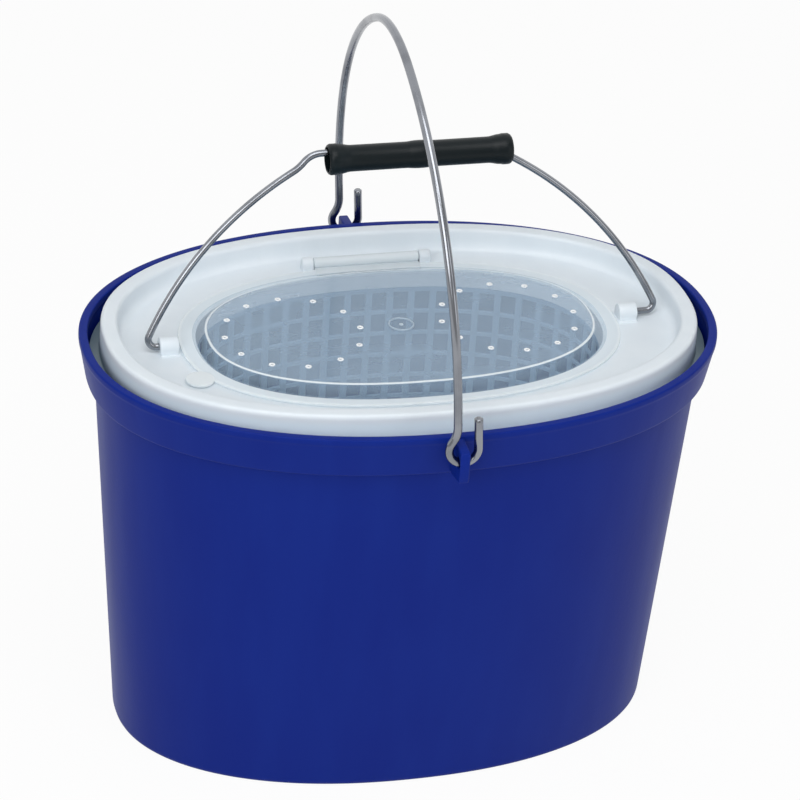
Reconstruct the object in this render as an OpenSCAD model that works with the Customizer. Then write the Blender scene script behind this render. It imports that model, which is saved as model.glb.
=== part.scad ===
// Oval bait bucket with a lift-out insert: a moulded bucket, a deck with a
// sieve basket and a hinged vent lid, and two wire bails, one with a grip.
// Origin at the middle of the foot, +X along the oval, -Y to the front.

/* [Bucket] */
// Length over the rim
rim_l = 370; // [350:1:400]
// Width over the rim
rim_w = 254; // [240:1:280]
// Height of the rim above the foot
rim_z = 252.4; // [230:0.2:280]
// How much the body narrows towards its foot, at each end
end_taper = 13; // [8:0.5:18]
// How much the body narrows towards its foot, at each side
side_taper = 19.8; // [14:0.1:22]
// Squareness of the bucket's oval, 2 being an ellipse
bucket_power = 2.17; // [2:0.01:2.4]
// Wall thickness of the bucket
bucket_wall = 2.5; // [2:0.1:3]
// Height of the collar from its shoulder to the rim
collar_h = 25.4; // [22:0.2:30]
// Widening of the collar from its shoulder to the rim, on each side
collar_flare = 4.1; // [2:0.1:5]
// Width of the shoulder under the collar
shoulder_w = 5.1; // [4:0.1:7]
// Width of the thickened lip at the rim
lip_w = 5.2; // [4:0.1:6]
// Height of the thickened lip
lip_h = 4.4; // [3:0.1:6]
// How far the lip stands out from the collar
lip_step = 0.5; // [0.3:0.1:1]
// Radius round the foot
foot_r = 4; // [3.5:0.1:6]
// Width of the flat ring that the bucket stands on
foot_land = 7; // [4:0.5:10]
// Depth of the hollow under the floor
foot_hollow = 2.5; // [1:0.1:4]

/* [Ears] */
// Thickness of an ear
ear_t = 5.6; // [4:0.1:7]
// Depth of an ear's outer edge below the rim
ear_h = 19.5; // [17:0.5:22]
// Reach of an ear beyond the middle of its hole
ear_land = 5; // [4.8:0.1:8]
// Fall of an ear's top edge from the rim to its corner
ear_fall = 2.2; // [1:0.1:4]
// Chamfer of an ear's lower corner
ear_corner = 2; // [1:0.1:4]

/* [Bucket bail] */
// Wire diameter of the bucket bail
bail_wire_d = 4.8; // [4:0.1:5]
// Distance of each hook beyond the rim
hook_out = 10; // [8:0.5:14]
// Height of the crown above the turning axis
bail_rise = 186.8; // [180:0.1:195]
// Bend radius of the crown
crown_r = 85; // [75:1:95]
// Length of the straight leg above the kink
leg_straight = 10; // [5:0.5:15]
// Radius of the hook, on the middle of the wire
hook_r = 8.2; // [7.6:0.1:9]
// Offset of the leg from the middle of the hook
leg_offset = 3.4; // [3:0.1:4]
// Bend radius of the kink above the hook
kink_r = 16; // [12:0.5:20]
// Depth of the hook's middle below the rim
hook_drop = 2.2; // [0.5:0.1:4]
// Height of the free end above the middle of the hook
hook_tail = 18.7; // [14:0.1:24]
// Lean of the bail as it stands
bail_lean = 3.6; // [0:0.1:8]

/* [Deck] */
// Distance of the deck's edge in from the bucket's edge, at the ends
deck_end_gap = 12.6; // [11:0.1:15]
// Distance of the deck's edge in from the bucket's edge, at the sides
deck_side_gap = 16; // [14:0.5:18]
// Squareness of the deck's oval
deck_power = 2.29; // [2:0.01:2.4]
// Height of the deck's rim above the bucket's rim
deck_rise = 6.5; // [4:0.1:8]
// Width of the deck's rounded rim
deck_rim_w = 9.6; // [8:0.1:11]
// Depth of the tray inside the rim
tray_depth = 12.9; // [11:0.1:15]
// Fillet between the tray and its wall
tray_r = 10; // [7:0.5:11]
// Inward slope of the tray's wall
tray_wall_draft = 0.6; // [0.2:0.1:1]
// Radius of the deck's rounded rim
deck_rim_r = 3; // [2:0.1:3.6]
// Wall thickness of the deck
deck_wall = 2.2; // [1.8:0.1:2.6]
// Depth of the skirt's flange below the deck's rim
flange_drop = 18.6; // [16:0.1:20]
// Squareness of the opening and of what follows it
opening_power = 2.3; // [2:0.01:2.5]
// Depth of the collar round the opening
opening_depth = 9.4; // [8:0.1:12]
// Inward slope of the opening's collar
opening_draft = 2.8; // [1:0.1:3.5]

/* [Bail bosses] */
// Diameter of a boss
boss_d = 11; // [9:0.1:12]
// Length of a boss
boss_l = 11; // [8:0.5:12]
// Distance of a boss's outer end in from the deck's edge
boss_inset = 31.4; // [30:0.2:36]
// Height of the bail's axis above the tray
boss_z = 3.5; // [3:0.1:5]

/* [Sieve basket] */
// Wall thickness of the basket
basket_wall = 2; // [1.6:0.1:2.4]
// Upright bars round the basket
basket_bars = 48; // [36:4:52]
// Rows of openings up the wall
basket_rows = 7; // [5:1:8]
// Distance from row to row
row_pitch = 14.5; // [12:0.1:15]
// Width of an upright bar
upright_w = 4.4; // [3:0.1:5]
// Height of a level bar
level_w = 3; // [2.4:0.1:4]
// Thickness of the basket's floor
floor_t = 2.4; // [2:0.1:3]
// Width of the plain edge round the floor
floor_edge = 6; // [4:0.5:9]
// Pitch of the floor's bars along the basket
floor_pitch = 16; // [14:0.5:20]

/* [Vent lid] */
// Wall thickness of the lid
lid_wall = 1.6; // [1.2:0.1:2]
// Chamfer of the lid's edges
lid_ease = 0.4; // [0.2:0.05:0.5]
// Width of the flange beyond the ends of the opening
lid_lap = 8.6; // [7:0.1:9]
// Width of the flange beyond the sides of the opening
lid_side_lap = 6.8; // [6:0.1:7]
// Gap between the flange and a boss
lid_gap = 1.7; // [1:0.1:3]
// Height of the dome above the flange
dome_h = 4.4; // [3:0.1:6]
// Setback of the dome's top at the ends
dome_in_x = 6; // [4:0.1:8]
// Setback of the dome's top at the sides
dome_in_y = 8.4; // [6:0.1:10]
// Diameter of a vent hole
vent_d = 3; // [2:0.1:4]
// Vent holes in a circle
vents = 12; // [8:1:16]
// Radius of a circle of vent holes
vent_circle_r = 39.5; // [36:0.5:42]
// Distance of the outermost vent holes from the dome's end
vent_edge = 9.7; // [6:0.1:14]
// Diameter of the moulded ring in the middle
gate_ring_d = 14; // [10:0.5:18]
// Thickness of its bead, half of it in the dome
gate_bead_d = 1.2; // [0.8:0.1:1.6]
// Diameter of the thumb tab
tab_d = 16.4; // [14:0.2:18]
// Place of the thumb tab beyond the opening's end
tab_out = 4.8; // [3:0.1:6]
// Place of the thumb tab across the lid
tab_y = -36; // [-42:1:-30]

/* [Hinge] */
// Length of the lid's hinge barrel
barrel_l = 64; // [50:1:80]
// Diameter of the hinge barrel
barrel_d = 6.4; // [5.6:0.1:7]
// Diameter of the hinge pins
pin_d = 3; // [2.4:0.1:3.4]
// Width of a hinge lug
lug_w = 7; // [5:0.5:9]
// How much thicker a lug is than the barrel
lug_extra = 1.4; // [0.8:0.1:1.6]
// Distance of the hinge axis behind the opening
hinge_back = 10; // [9.8:0.1:12]
// Distance of the hinge axis in from the foot of the tray's wall
hinge_in = 6.3; // [5:0.1:9]

/* [Insert bail] */
// Wire diameter of the insert bail
lift_wire_d = 4; // [3.6:0.1:4.2]
// Height of the bail's straight top above its axis
lift_rise = 105.5; // [100:0.5:112]
// Half-length of the straight top
lift_top = 48; // [45:0.5:50]
// Bend radius at the ends of the straight top
lift_top_r = 14; // [12:0.5:18]
// Steepness of the arms just below the straight top
lift_fall = 48; // [44:1:52]
// Radius of the bend back towards the arms
lift_back_r = 26; // [24:1:36]
// Bend radius of the arms
lift_arm_r = 206; // [190:1:240]
// Length of wire in each boss
lift_in_boss = 6.4; // [5:0.1:7]
// Slack to one side, as the bail stands
lift_slack = 2.5; // [0:0.1:3]
// Distance of each elbow's middle from the boss
elbow_out = 4; // [3.5:0.1:5]
// Bend radius of the elbows
elbow_r = 4.5; // [4:0.1:6]
// Lean of the bail as it stands
lift_lean = 13.9; // [0:0.1:20]

/* [Grip] */
// How far the grip reaches beyond the straight, at both ends together
grip_over = 11.2; // [8:0.2:12]
// Diameter of the grip between its swellings
grip_d = 15; // [14.6:0.1:17]
// Diameter of the grip's ends
grip_end_d = 17.8; // [17:0.1:20]
// Diameter of the swelling at its middle
grip_mid_d = 16; // [15:0.1:18]
// Length of the swelling at its middle
grip_mid_l = 14; // [10:0.5:24]
// Bore of the grip
grip_bore_d = 12.4; // [11.6:0.1:12.6]
// Shift of the grip along the wire
grip_shift = 8.8; // [6:0.1:9]
// Length of a grip's end, and of the taper behind it
grip_end_l = 5; // [4:0.5:7]
grip_taper_l = 8; // [6:0.5:10]

/* [Clearances] */
// Clearance between pieces that lie on each other
rest_gap = 0.3; // [0.2:0.05:0.5]
// Radial clearance of a pin or wire in its bore
pin_fit = 0.08; // [0.05:0.01:0.1]
// Clearance of a hook's wire in its ear
hook_fit = 0.6; // [0.4:0.05:0.8]
// Wall left at the end of a blind bore
bore_floor = 1.4; // [1:0.1:1.6]
// Clearance of the deck's flange inside the bucket's collar
flange_fit = 1.6; // [1:0.1:2]

/* [Hidden] */

// Sides of every oval, and of the rounds
oval_sides = 64;
round_sides = 48;
eps = 0.01;
// How much the wire swells where two bends meet
knuckle_swell = 0.04;
// Chamfer of the moulded edges
ease = 1;

blue = [0.12, 0.19, 0.52];
white = [0.86, 0.89, 0.91];
frosted = [0.75, 0.80, 0.83, 0.55];
steel = [0.62, 0.65, 0.68];
black = [0.06, 0.07, 0.08];

// Bucket
rim = [rim_l / 2, rim_w / 2];
shoulder_z = rim_z - collar_h;
collar_foot = shrink(rim, collar_flare);
body_top = shrink(collar_foot, shoulder_w);
foot = body_top - [end_taper, side_taper];
ledge_z = shoulder_z + bucket_wall;

// Deck, from its rim inwards
deck = rim - [deck_end_gap, deck_side_gap];
deck_inner = shrink(deck, deck_rim_w);
tray_wall = shrink(deck_inner, tray_wall_draft);
boss_end = deck[0] - boss_inset;
hinge_y = tray_wall[1] - tray_r - hinge_in;
deck_top = rim_z + deck_rise;
tray_z = deck_top - tray_depth;
flange_z = deck_top - flange_drop;
deck_foot_z = ledge_z + rest_gap;
opening = [boss_end - boss_l - lid_gap - lid_lap, hinge_y - hinge_back];
opening_foot = shrink(opening, opening_draft);
opening_foot_z = tray_z - opening_depth;

// Lid, on the tray
lid_z = tray_z + rest_gap;
lid_edge = opening + [lid_lap, lid_side_lap];
dome_foot = shrink(opening, lid_wall / 2);
dome_top = [dome_foot[0] - dome_in_x, dome_foot[1] - dome_in_y];
dome_z = lid_z + lid_wall + dome_h;
vent_circle_x = dome_top[0] - vent_circle_r - vent_edge;
hinge_z = lid_z + rest_gap + barrel_d / 2;
lug_d = barrel_d + lug_extra;
pin_l = lug_w - bore_floor;

// Basket, hung round the opening's collar
hanger = grow(opening_foot, deck_wall + opening_draft + rest_gap);
basket = grow(opening_foot, basket_wall);
basket_top_z = opening_foot_z - rest_gap;
grid_top_z = basket_top_z - level_w;
basket_floor_z = grid_top_z - basket_rows * row_pitch;

// Bucket bail, in its own plane: u along the leg's offset, v upwards
ear_hole_d = bail_wire_d + 2 * hook_fit + hook_r - sqrt(hook_r * hook_r - ear_t * ear_t / 4);
bail_y = rim[1] + hook_out;
bail_z = rim_z - hook_drop;
kink_v = sqrt(pow(hook_r + kink_r, 2) - pow(leg_offset + kink_r, 2));
leg_top_v = kink_v + leg_straight;
crown_v = bail_rise - crown_r;
side_v = bail_rise - leg_top_v;
side_r = (bail_y * bail_y + side_v * side_v - 2 * crown_r * side_v) / (2 * (bail_y - crown_r));
side_turn = atan2(crown_v - leg_top_v, side_r - bail_y);

// Insert bail, in its own plane: u along the deck, v upwards
lift_z = tray_z + boss_z;
elbow_mid = [boss_end + elbow_out, elbow_r];
top_mid = [lift_top, lift_rise - lift_top_r];
top_end = 90 - lift_fall;
back_mid = top_mid + (lift_top_r + lift_back_r) * [cos(top_end), sin(top_end)];
arm_mid = meet(back_mid, lift_arm_r + lift_back_r, elbow_mid, lift_arm_r - elbow_r);
arm_low = atan2(elbow_mid[1] - arm_mid[1], elbow_mid[0] - arm_mid[0]);
arm_high = atan2(back_mid[1] - arm_mid[1], back_mid[0] - arm_mid[0]);
grip_l = 2 * lift_top + grip_over;
grip_v = lift_rise - grip_bore_d / 2 + lift_wire_d / 2 + rest_gap;

// Half-axes of an oval, smaller or larger all round
function shrink(oval, by) = [oval[0] - by, oval[1] - by];
function grow(oval, by) = shrink(oval, -by);

// One ring of a shell: an oval's half-axes at a height, and a power of its own if it needs one
function ring(oval, z, power = 0) = [oval[0], oval[1], z, power];

// Rings of a quarter bend, whose middle lies in from an oval, from one angle to another
function bend(oval, in, z, r, from, to, steps) =
    [for (k = [0 : steps])
        let (t = from + (to - from) * k / steps)
            ring(grow(oval, r * cos(t) - in), z + r * sin(t))];

// Points of an oval: a superellipse of the given power
function outline(oval, power, sides) =
    [for (k = [0 : sides - 1])
        let (t = 360 * k / sides)
            [oval[0] * sign(cos(t)) * pow(abs(cos(t)), 2 / power),
             oval[1] * sign(sin(t)) * pow(abs(sin(t)), 2 / power)]];

// Where two circles meet, on the side nearer the origin
function meet(p, rp, q, rq) =
    let (gap = norm(q - p),
         along = (rp * rp - rq * rq + gap * gap) / (2 * gap),
         across = sqrt(rp * rp - along * along),
         dir = (q - p) / gap)
        p + dir * along + [dir[1], -dir[0]] * across;

// Triangles that join ring j of a shell to ring k
function band(j, k) =
    [for (i = [0 : oval_sides - 1])
        let (n = (i + 1) % oval_sides)
            each [[j * oval_sides + i, k * oval_sides + n, j * oval_sides + n],
                  [j * oval_sides + i, k * oval_sides + i, k * oval_sides + n]]];

// Points of all the rings of a shell
function ring_points(rings, power) =
    [for (r = rings)
        each [for (p = outline([r[0], r[1]], r[3] > 0 ? r[3] : power, oval_sides)) [p[0], p[1], r[2]]]];

// Shell whose rings close on themselves, like a gasket
module oval_loop(rings, power) {
    count = len(rings);
    polyhedron(ring_points(rings, power), [for (j = [0 : count - 1]) each band(j, (j + 1) % count)]);
}

// Shell whose first and last rings are filled: a vessel or a plate
module oval_vessel(rings, power) {
    count = len(rings);
    last = (count - 1) * oval_sides;
    polyhedron(ring_points(rings, power),
               concat([[for (i = [0 : oval_sides - 1]) i]],
                      [for (j = [0 : count - 2]) each band(j, j + 1)],
                      [[for (i = [oval_sides - 1 : -1 : 0]) last + i]]));
}

// Upright prism on an oval
module oval_prism(oval, power, h, sides = oval_sides) {
    linear_extrude(h) polygon(outline(oval, power, sides));
}

// Round wire in the plane of a bail: an arc about a point, a straight, and the
// full round that joins two bends
module wire_arc(mid, r, from, to, d) {
    translate(mid) rotate(from)
        rotate_extrude(angle = to - from, $fn = 4 * round_sides)
            translate([r, 0]) circle(d = d, $fn = round_sides);
}
module wire_knuckle(mid, r, at, d) {
    translate(mid) rotate(at) translate([r, 0])
        sphere(d = d + knuckle_swell, $fn = round_sides);
}
module wire_line(p, q, d) {
    run = q - p;
    translate(p) rotate([0, 90, atan2(run[1], run[0])])
        cylinder(d = d, h = norm(run), $fn = round_sides);
}

// Cylinder along X from one place to another
module rod_x(x0, x1, y, z, d) {
    translate([x0, y, z]) rotate([0, 90, 0]) cylinder(d = d, h = x1 - x0, $fn = round_sides);
}

module ear() {
    hole_v = -hook_r + (hook_r - sqrt(hook_r * hook_r - ear_t * ear_t / 4)) / 2;
    outer_y = bail_y + ear_land;
    in_lip = rim[1] - lip_w / 2;
    difference() {
        translate([-ear_t / 2, 0, 0]) rotate([90, 0, 90]) linear_extrude(ear_t)
            polygon([[in_lip, rim_z - lip_h], [in_lip, rim_z - ease],
                     [outer_y - ease, rim_z - ear_fall], [outer_y, rim_z - ear_fall - ease],
                     [outer_y, rim_z - ear_h], [outer_y - ear_corner, rim_z - ear_h - ear_corner],
                     [collar_foot[1] - bucket_wall / 2, shoulder_z + ease]]);
        rod_x(-ear_t / 2 - ease, ear_t / 2 + ease, bail_y, bail_z + hole_v, ear_hole_d);
    }
}

module bucket_shell() {
    inner_foot = shrink(foot, bucket_wall);
    inner_r = foot_r - bucket_wall;
    floor_z = foot_hollow + bucket_wall;
    lip_in = shrink(rim, lip_w);
    rings = concat(
        [ring(shrink(foot, foot_r + foot_land + ease), foot_hollow),
         ring(shrink(foot, foot_r + foot_land), 0)],
        bend(foot, foot_r, foot_r, foot_r, -90, 0, 4),
        [ring(body_top, shoulder_z - ease), ring(body_top, shoulder_z),
         ring(collar_foot, shoulder_z), ring(shrink(rim, lip_step), rim_z - lip_h),
         ring(rim, rim_z - lip_h + ease), ring(rim, rim_z - ease),
         ring(shrink(rim, ease), rim_z), ring(shrink(rim, lip_w - ease), rim_z),
         ring(lip_in, rim_z - ease), ring(lip_in, rim_z - lip_h),
         ring(shrink(rim, bucket_wall + lip_step), rim_z - lip_h - 2 * ease),
         ring(shrink(collar_foot, bucket_wall), ledge_z),
         ring(shrink(body_top, bucket_wall), ledge_z),
         ring(shrink(body_top, bucket_wall), ledge_z - ease)],
        bend(inner_foot, inner_r, floor_z + inner_r, inner_r, 0, -80, 2),
        [ring(shrink(inner_foot, inner_r + ease), floor_z)]);
    color(blue) union() {
        oval_vessel(rings, bucket_power);
        ear();
        mirror([0, 1, 0]) ear();
    }
}

module bail_half() {
    kink_mid = [-leg_offset - kink_r, kink_v];
    kink_turn = atan2(kink_v, leg_offset + kink_r);
    translate([0, bail_y, 0]) rotate([90, 0, 0]) {
        wire_arc([0, 0], hook_r, 180 - kink_turn, 360, bail_wire_d);
        wire_arc(kink_mid, kink_r, -kink_turn, 0, bail_wire_d);
        wire_line([hook_r, 0], [hook_r, hook_tail], bail_wire_d);
        wire_line([-leg_offset, kink_v], [-leg_offset, leg_top_v], bail_wire_d);
    }
    translate([-leg_offset, 0, 0]) rotate([90, 0, 90]) {
        wire_arc([bail_y - side_r, leg_top_v], side_r, 0, side_turn, bail_wire_d);
        wire_knuckle([0, crown_v], crown_r, side_turn, bail_wire_d);
    }
}

module bucket_bail() {
    color(steel) translate([0, 0, bail_z]) rotate([0, -bail_lean, 0]) {
        bail_half();
        mirror([0, 1, 0]) bail_half();
        translate([-leg_offset, 0, 0]) rotate([90, 0, 90])
            wire_arc([0, crown_v], crown_r, side_turn, 180 - side_turn, bail_wire_d);
    }
}

module deck_ring() {
    flange_foot = shrink(collar_foot, bucket_wall + flange_fit);
    flange = grow(flange_foot, collar_flare * (flange_z - shoulder_z) / collar_h);
    under = tray_z - deck_wall;
    rings = concat(
        [ring(flange_foot, deck_foot_z, bucket_power), ring(flange, flange_z - ease, bucket_power),
         ring(shrink(flange, ease), flange_z, bucket_power),
         ring(grow(deck, ease / 2), flange_z), ring(deck, flange_z + ease)],
        bend(deck, deck_rim_r, deck_top - deck_rim_r, deck_rim_r, 0, 90, 3),
        bend(deck_inner, -deck_rim_r, deck_top - deck_rim_r, deck_rim_r, 90, 180, 3),
        bend(tray_wall, tray_r, tray_z + tray_r, tray_r, 0, -90, 4),
        [ring(opening, tray_z), ring(shrink(opening, ease), tray_z - ease),
         ring(opening_foot, opening_foot_z), ring(grow(opening_foot, deck_wall), opening_foot_z),
         ring(grow(opening, deck_wall - ease / 2), under)],
        bend(tray_wall, tray_r, tray_z + tray_r, tray_r + deck_wall, -90, -30, 3),
        [ring(shrink(deck, deck_wall + deck_rim_r - ease / 2), deck_top - deck_wall - ease),
         ring(shrink(deck, deck_wall), deck_top - deck_rim_r - deck_wall),
         ring(shrink(deck, deck_wall), flange_z - deck_wall),
         ring(shrink(flange, deck_wall), flange_z - deck_wall, bucket_power),
         ring(shrink(flange_foot, deck_wall), deck_foot_z, bucket_power)]);
    color(white) difference() {
        union() {
            oval_loop(rings, deck_power);
            for (side = [0, 1]) mirror([side, 0, 0]) {
                boss();
                lug();
            }
        }
        for (side = [0, 1]) mirror([side, 0, 0]) {
            rod_x(boss_end - boss_l + bore_floor, boss_end + eps, 0, lift_z, lift_wire_d + 2 * pin_fit);
            rod_x(barrel_l / 2, barrel_l / 2 + rest_gap + pin_l, hinge_y, hinge_z, pin_d + 2 * pin_fit);
        }
    }
}

module boss() {
    x0 = boss_end - boss_l;
    rod_x(x0, x0 + boss_l, 0, lift_z, boss_d);
    translate([x0, -boss_d / 2, tray_z - deck_wall / 2])
        cube([boss_l, boss_d, lift_z - tray_z + deck_wall / 2]);
}

module lug() {
    x0 = barrel_l / 2 + rest_gap;
    rod_x(x0, x0 + lug_w, hinge_y, hinge_z, lug_d);
    translate([x0, hinge_y - lug_d / 2, tray_z - deck_wall / 2])
        cube([lug_w, lug_d, hinge_z - tray_z + deck_wall / 2]);
}

module sieve_basket() {
    sides = basket_bars;
    window_h = row_pitch - level_w;
    points = outline(shrink(basket, basket_wall / 2), opening_power, sides);
    inside = shrink(basket, basket_wall);
    color(white) difference() {
        union() {
            translate([0, 0, basket_floor_z]) difference() {
                oval_prism(basket, opening_power, basket_top_z - basket_floor_z, sides);
                translate([0, 0, floor_t])
                    oval_prism(inside, opening_power, basket_top_z - basket_floor_z, sides);
            }
            translate([0, 0, basket_top_z - level_w]) difference() {
                oval_prism(grow(hanger, basket_wall), opening_power, level_w, sides);
                translate([0, 0, -eps]) oval_prism(inside, opening_power, level_w + 2 * eps, sides);
            }
            translate([0, 0, basket_top_z - eps]) difference() {
                oval_prism(grow(hanger, basket_wall), opening_power, opening_depth - 2 * deck_wall, sides);
                translate([0, 0, -eps])
                    oval_prism(hanger, opening_power, opening_depth, sides);
            }
        }
        for (k = [0 : sides - 1]) {
            p = points[k];
            q = points[(k + 1) % sides];
            run = q - p;
            wide = norm(run) - upright_w;
            translate([(p[0] + q[0]) / 2, (p[1] + q[1]) / 2, 0]) rotate(atan2(run[1], run[0]))
                for (row = [0 : basket_rows - 1])
                    translate([-wide / 2, -basket_wall * 1.5, basket_floor_z + level_w + row * row_pitch])
                        cube([wide, basket_wall * 3, window_h]);
        }
        floor_slots(inside);
    }
}

module floor_slots(inside) {
    columns = floor(2 * (inside[0] - floor_edge) / floor_pitch);
    for (k = [0 : columns - 1]) {
        x = (k - (columns - 1) / 2) * floor_pitch;
        reach = inside[1] * pow(1 - pow((abs(x) + floor_pitch / 2) / inside[0], opening_power),
                                1 / opening_power) - floor_edge;
        slot = (reach - level_w) / 2;
        for (side = [-1, 1], part = [0, 1])
            translate([x - (floor_pitch - upright_w) / 2,
                       side > 0 ? level_w / 2 + part * (slot + level_w / 2)
                                : -level_w / 2 - slot - part * (slot + level_w / 2),
                       basket_floor_z - 1])
                cube([floor_pitch - upright_w, slot - level_w / 2, floor_t + 2]);
    }
}

module vent_lid() {
    top = lid_z + lid_wall;
    under_dome = dome_z - lid_wall;
    rings = concat(
        [ring(shrink(dome_top, lid_wall), under_dome), ring(shrink(dome_foot, lid_wall), lid_z + lid_ease),
         ring(shrink(dome_foot, lid_wall - lid_ease), lid_z),
         ring(shrink(lid_edge, lid_ease), lid_z), ring(lid_edge, lid_z + lid_ease),
         ring(lid_edge, top - lid_ease), ring(shrink(lid_edge, lid_ease), top),
         ring(grow(dome_foot, 2 * lid_ease), top), ring(dome_foot, top + 2 * lid_ease),
         ring(dome_top, dome_z - 2 * lid_ease), ring(shrink(dome_top, 2 * lid_ease), dome_z)]);
    color(frosted) difference() {
        union() {
            oval_vessel(rings, opening_power);
            translate([-opening[0] - tab_out, tab_y, lid_z])
                cylinder(d = tab_d, h = lid_wall, $fn = round_sides);
            rod_x(-barrel_l / 2, barrel_l / 2, hinge_y, hinge_z, barrel_d);
            rod_x(-barrel_l / 2 - pin_l, barrel_l / 2 + pin_l, hinge_y, hinge_z, pin_d);
            translate([-barrel_l / 2, opening[1], lid_z]) cube([barrel_l, hinge_back, lid_wall]);
            translate([0, 0, dome_z]) gate_ring();
        }
        for (side = [-1, 1], k = [0 : vents - 1])
            translate([side * vent_circle_x, 0, 0]) rotate(k * 360 / vents)
                translate([vent_circle_r, 0, under_dome - ease])
                    cylinder(d = vent_d, h = lid_wall + 2 * ease, $fn = round_sides / 2);
    }
}

module gate_ring() {
    rotate_extrude($fn = round_sides)
        translate([gate_ring_d / 2, 0]) circle(d = gate_bead_d, $fn = round_sides / 3);
}

module lift_half() {
    wire_line([boss_end - lift_in_boss, 0], [elbow_mid[0], 0], lift_wire_d);
    wire_arc(elbow_mid, elbow_r, -90, arm_low, lift_wire_d);
    wire_arc(arm_mid, lift_arm_r, arm_low, arm_high, lift_wire_d);
    wire_arc(back_mid, lift_back_r, 180 + top_end, 180 + arm_high, lift_wire_d);
    wire_arc(top_mid, lift_top_r, top_end, 90, lift_wire_d);
    wire_knuckle(arm_mid, lift_arm_r, arm_low, lift_wire_d);
    wire_knuckle(arm_mid, lift_arm_r, arm_high, lift_wire_d);
    wire_knuckle(top_mid, lift_top_r, top_end, lift_wire_d);
    wire_knuckle(top_mid, lift_top_r, 90, lift_wire_d);
}

module lift_place() {
    translate([lift_slack, 0, lift_z]) rotate([-lift_lean, 0, 0]) children();
}

module insert_bail() {
    color(steel) lift_place() rotate([90, 0, 0]) {
        lift_half();
        mirror([1, 0, 0]) lift_half();
        wire_line([-lift_top, lift_rise], [lift_top, lift_rise], lift_wire_d);
    }
}

module grip() {
    half = grip_l / 2;
    neck = half - grip_end_l - grip_taper_l;
    wall = (grip_d - grip_bore_d) / 2;
    end_r = grip_end_d / 2;
    mouth_r = end_r - wall - ease / 4;
    swell = (grip_mid_d - grip_d) / 4;
    color(black) lift_place() translate([grip_shift, 0, grip_v]) rotate([0, 90, 0])
        rotate_extrude($fn = 2 * round_sides)
            polygon(concat(
                [[mouth_r, -half], [end_r - ease / 2, -half], [end_r, -half + ease],
                 [end_r, -half + grip_end_l], [grip_d / 2, -neck]],
                [for (t = [-90 : 30 : 90]) [grip_d / 2 + swell * (1 + cos(2 * t)), t / 90 * grip_mid_l / 2]],
                [[grip_d / 2, neck], [end_r, half - grip_end_l], [end_r, half - ease],
                 [end_r - ease / 2, half], [mouth_r, half], [mouth_r, half - grip_end_l],
                 [grip_bore_d / 2, neck], [grip_bore_d / 2, -neck], [mouth_r, -half + grip_end_l]]));
}

bucket_shell();
bucket_bail();
deck_ring();
sieve_basket();
vent_lid();
insert_bail();
grip();
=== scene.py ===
"""Looks of an oval bait bucket: a moulded bucket, a lift-out deck with a sieve
basket and a hinged vent lid, and two wire bails, one with a grip.

Sizes are in millimetres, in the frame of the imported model, and each mesh is
written in metres.
"""

from __future__ import annotations

import logging
import math
from dataclasses import dataclass, field
from enum import Enum
from typing import Any, Iterable, Sequence

import bmesh
import bpy
import numpy as np
from bpy.types import Material, Node, NodeSocket, Object
from mathutils import Matrix, Vector

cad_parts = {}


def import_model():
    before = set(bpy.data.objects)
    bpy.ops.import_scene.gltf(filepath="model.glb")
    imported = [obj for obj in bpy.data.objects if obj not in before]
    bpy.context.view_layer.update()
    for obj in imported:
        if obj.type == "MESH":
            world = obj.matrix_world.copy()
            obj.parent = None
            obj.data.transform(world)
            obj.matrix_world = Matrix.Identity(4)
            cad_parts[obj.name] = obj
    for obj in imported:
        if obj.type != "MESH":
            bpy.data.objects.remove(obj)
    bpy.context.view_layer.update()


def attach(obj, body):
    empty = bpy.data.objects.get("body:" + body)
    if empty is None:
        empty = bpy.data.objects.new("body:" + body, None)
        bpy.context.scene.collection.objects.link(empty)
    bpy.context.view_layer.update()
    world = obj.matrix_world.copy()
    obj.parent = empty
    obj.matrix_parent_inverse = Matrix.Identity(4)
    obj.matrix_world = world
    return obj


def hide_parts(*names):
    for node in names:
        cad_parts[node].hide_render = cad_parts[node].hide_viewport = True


LOG = logging.getLogger("bait_bucket")
# Metres in a millimetre, white light, and the share of its diameter by which a wire's end is eased.
MM = 0.001
WHITE_LIGHT = (1.0, 1.0, 1.0, 1.0)
WIRE_EASE = 0.12
# The most of an edge that one rounding may take, so that two of them never meet.
MOST_OF_HALF = 0.48
# Angles in degrees: edges sharper than these stay sharp, and those over EASE_FROM are bevelled.
SMOOTH_TO = 40.0
CUT_SMOOTH_TO = 35.0
WIRE_SMOOTH_TO = 50.0
EASE_FROM = 60.0
# The camera's sensor, in millimetres.
SENSOR = 36.0

Colour = tuple[float, float, float, float]
Point = tuple[float, float]


# --------------------------------------------------------------------------
# Names that the pieces share
# --------------------------------------------------------------------------


class Body(Enum):
    """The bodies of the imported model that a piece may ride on."""

    BUCKET = "bucket"
    BUCKET_BAIL = "bucket_bail"
    INSERT = "insert"
    LID = "lid"
    LIFT_BAIL = "lift_bail"
    GRIP = "grip"


class Slot(Enum):
    """Names of material slots."""

    BUCKET = "bucket"
    WIRE = "wire"
    DECK = "deck"
    BASKET = "basket"
    LID = "lid"
    GRIP = "grip"


class Closing(Enum):
    """How the rings of a lofted shell end."""

    LOOP = "the last ring joins the first"
    CAPS = "the first and last rings are filled"


# --------------------------------------------------------------------------
# Shader and geometry trees, written as expressions
# --------------------------------------------------------------------------


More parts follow.
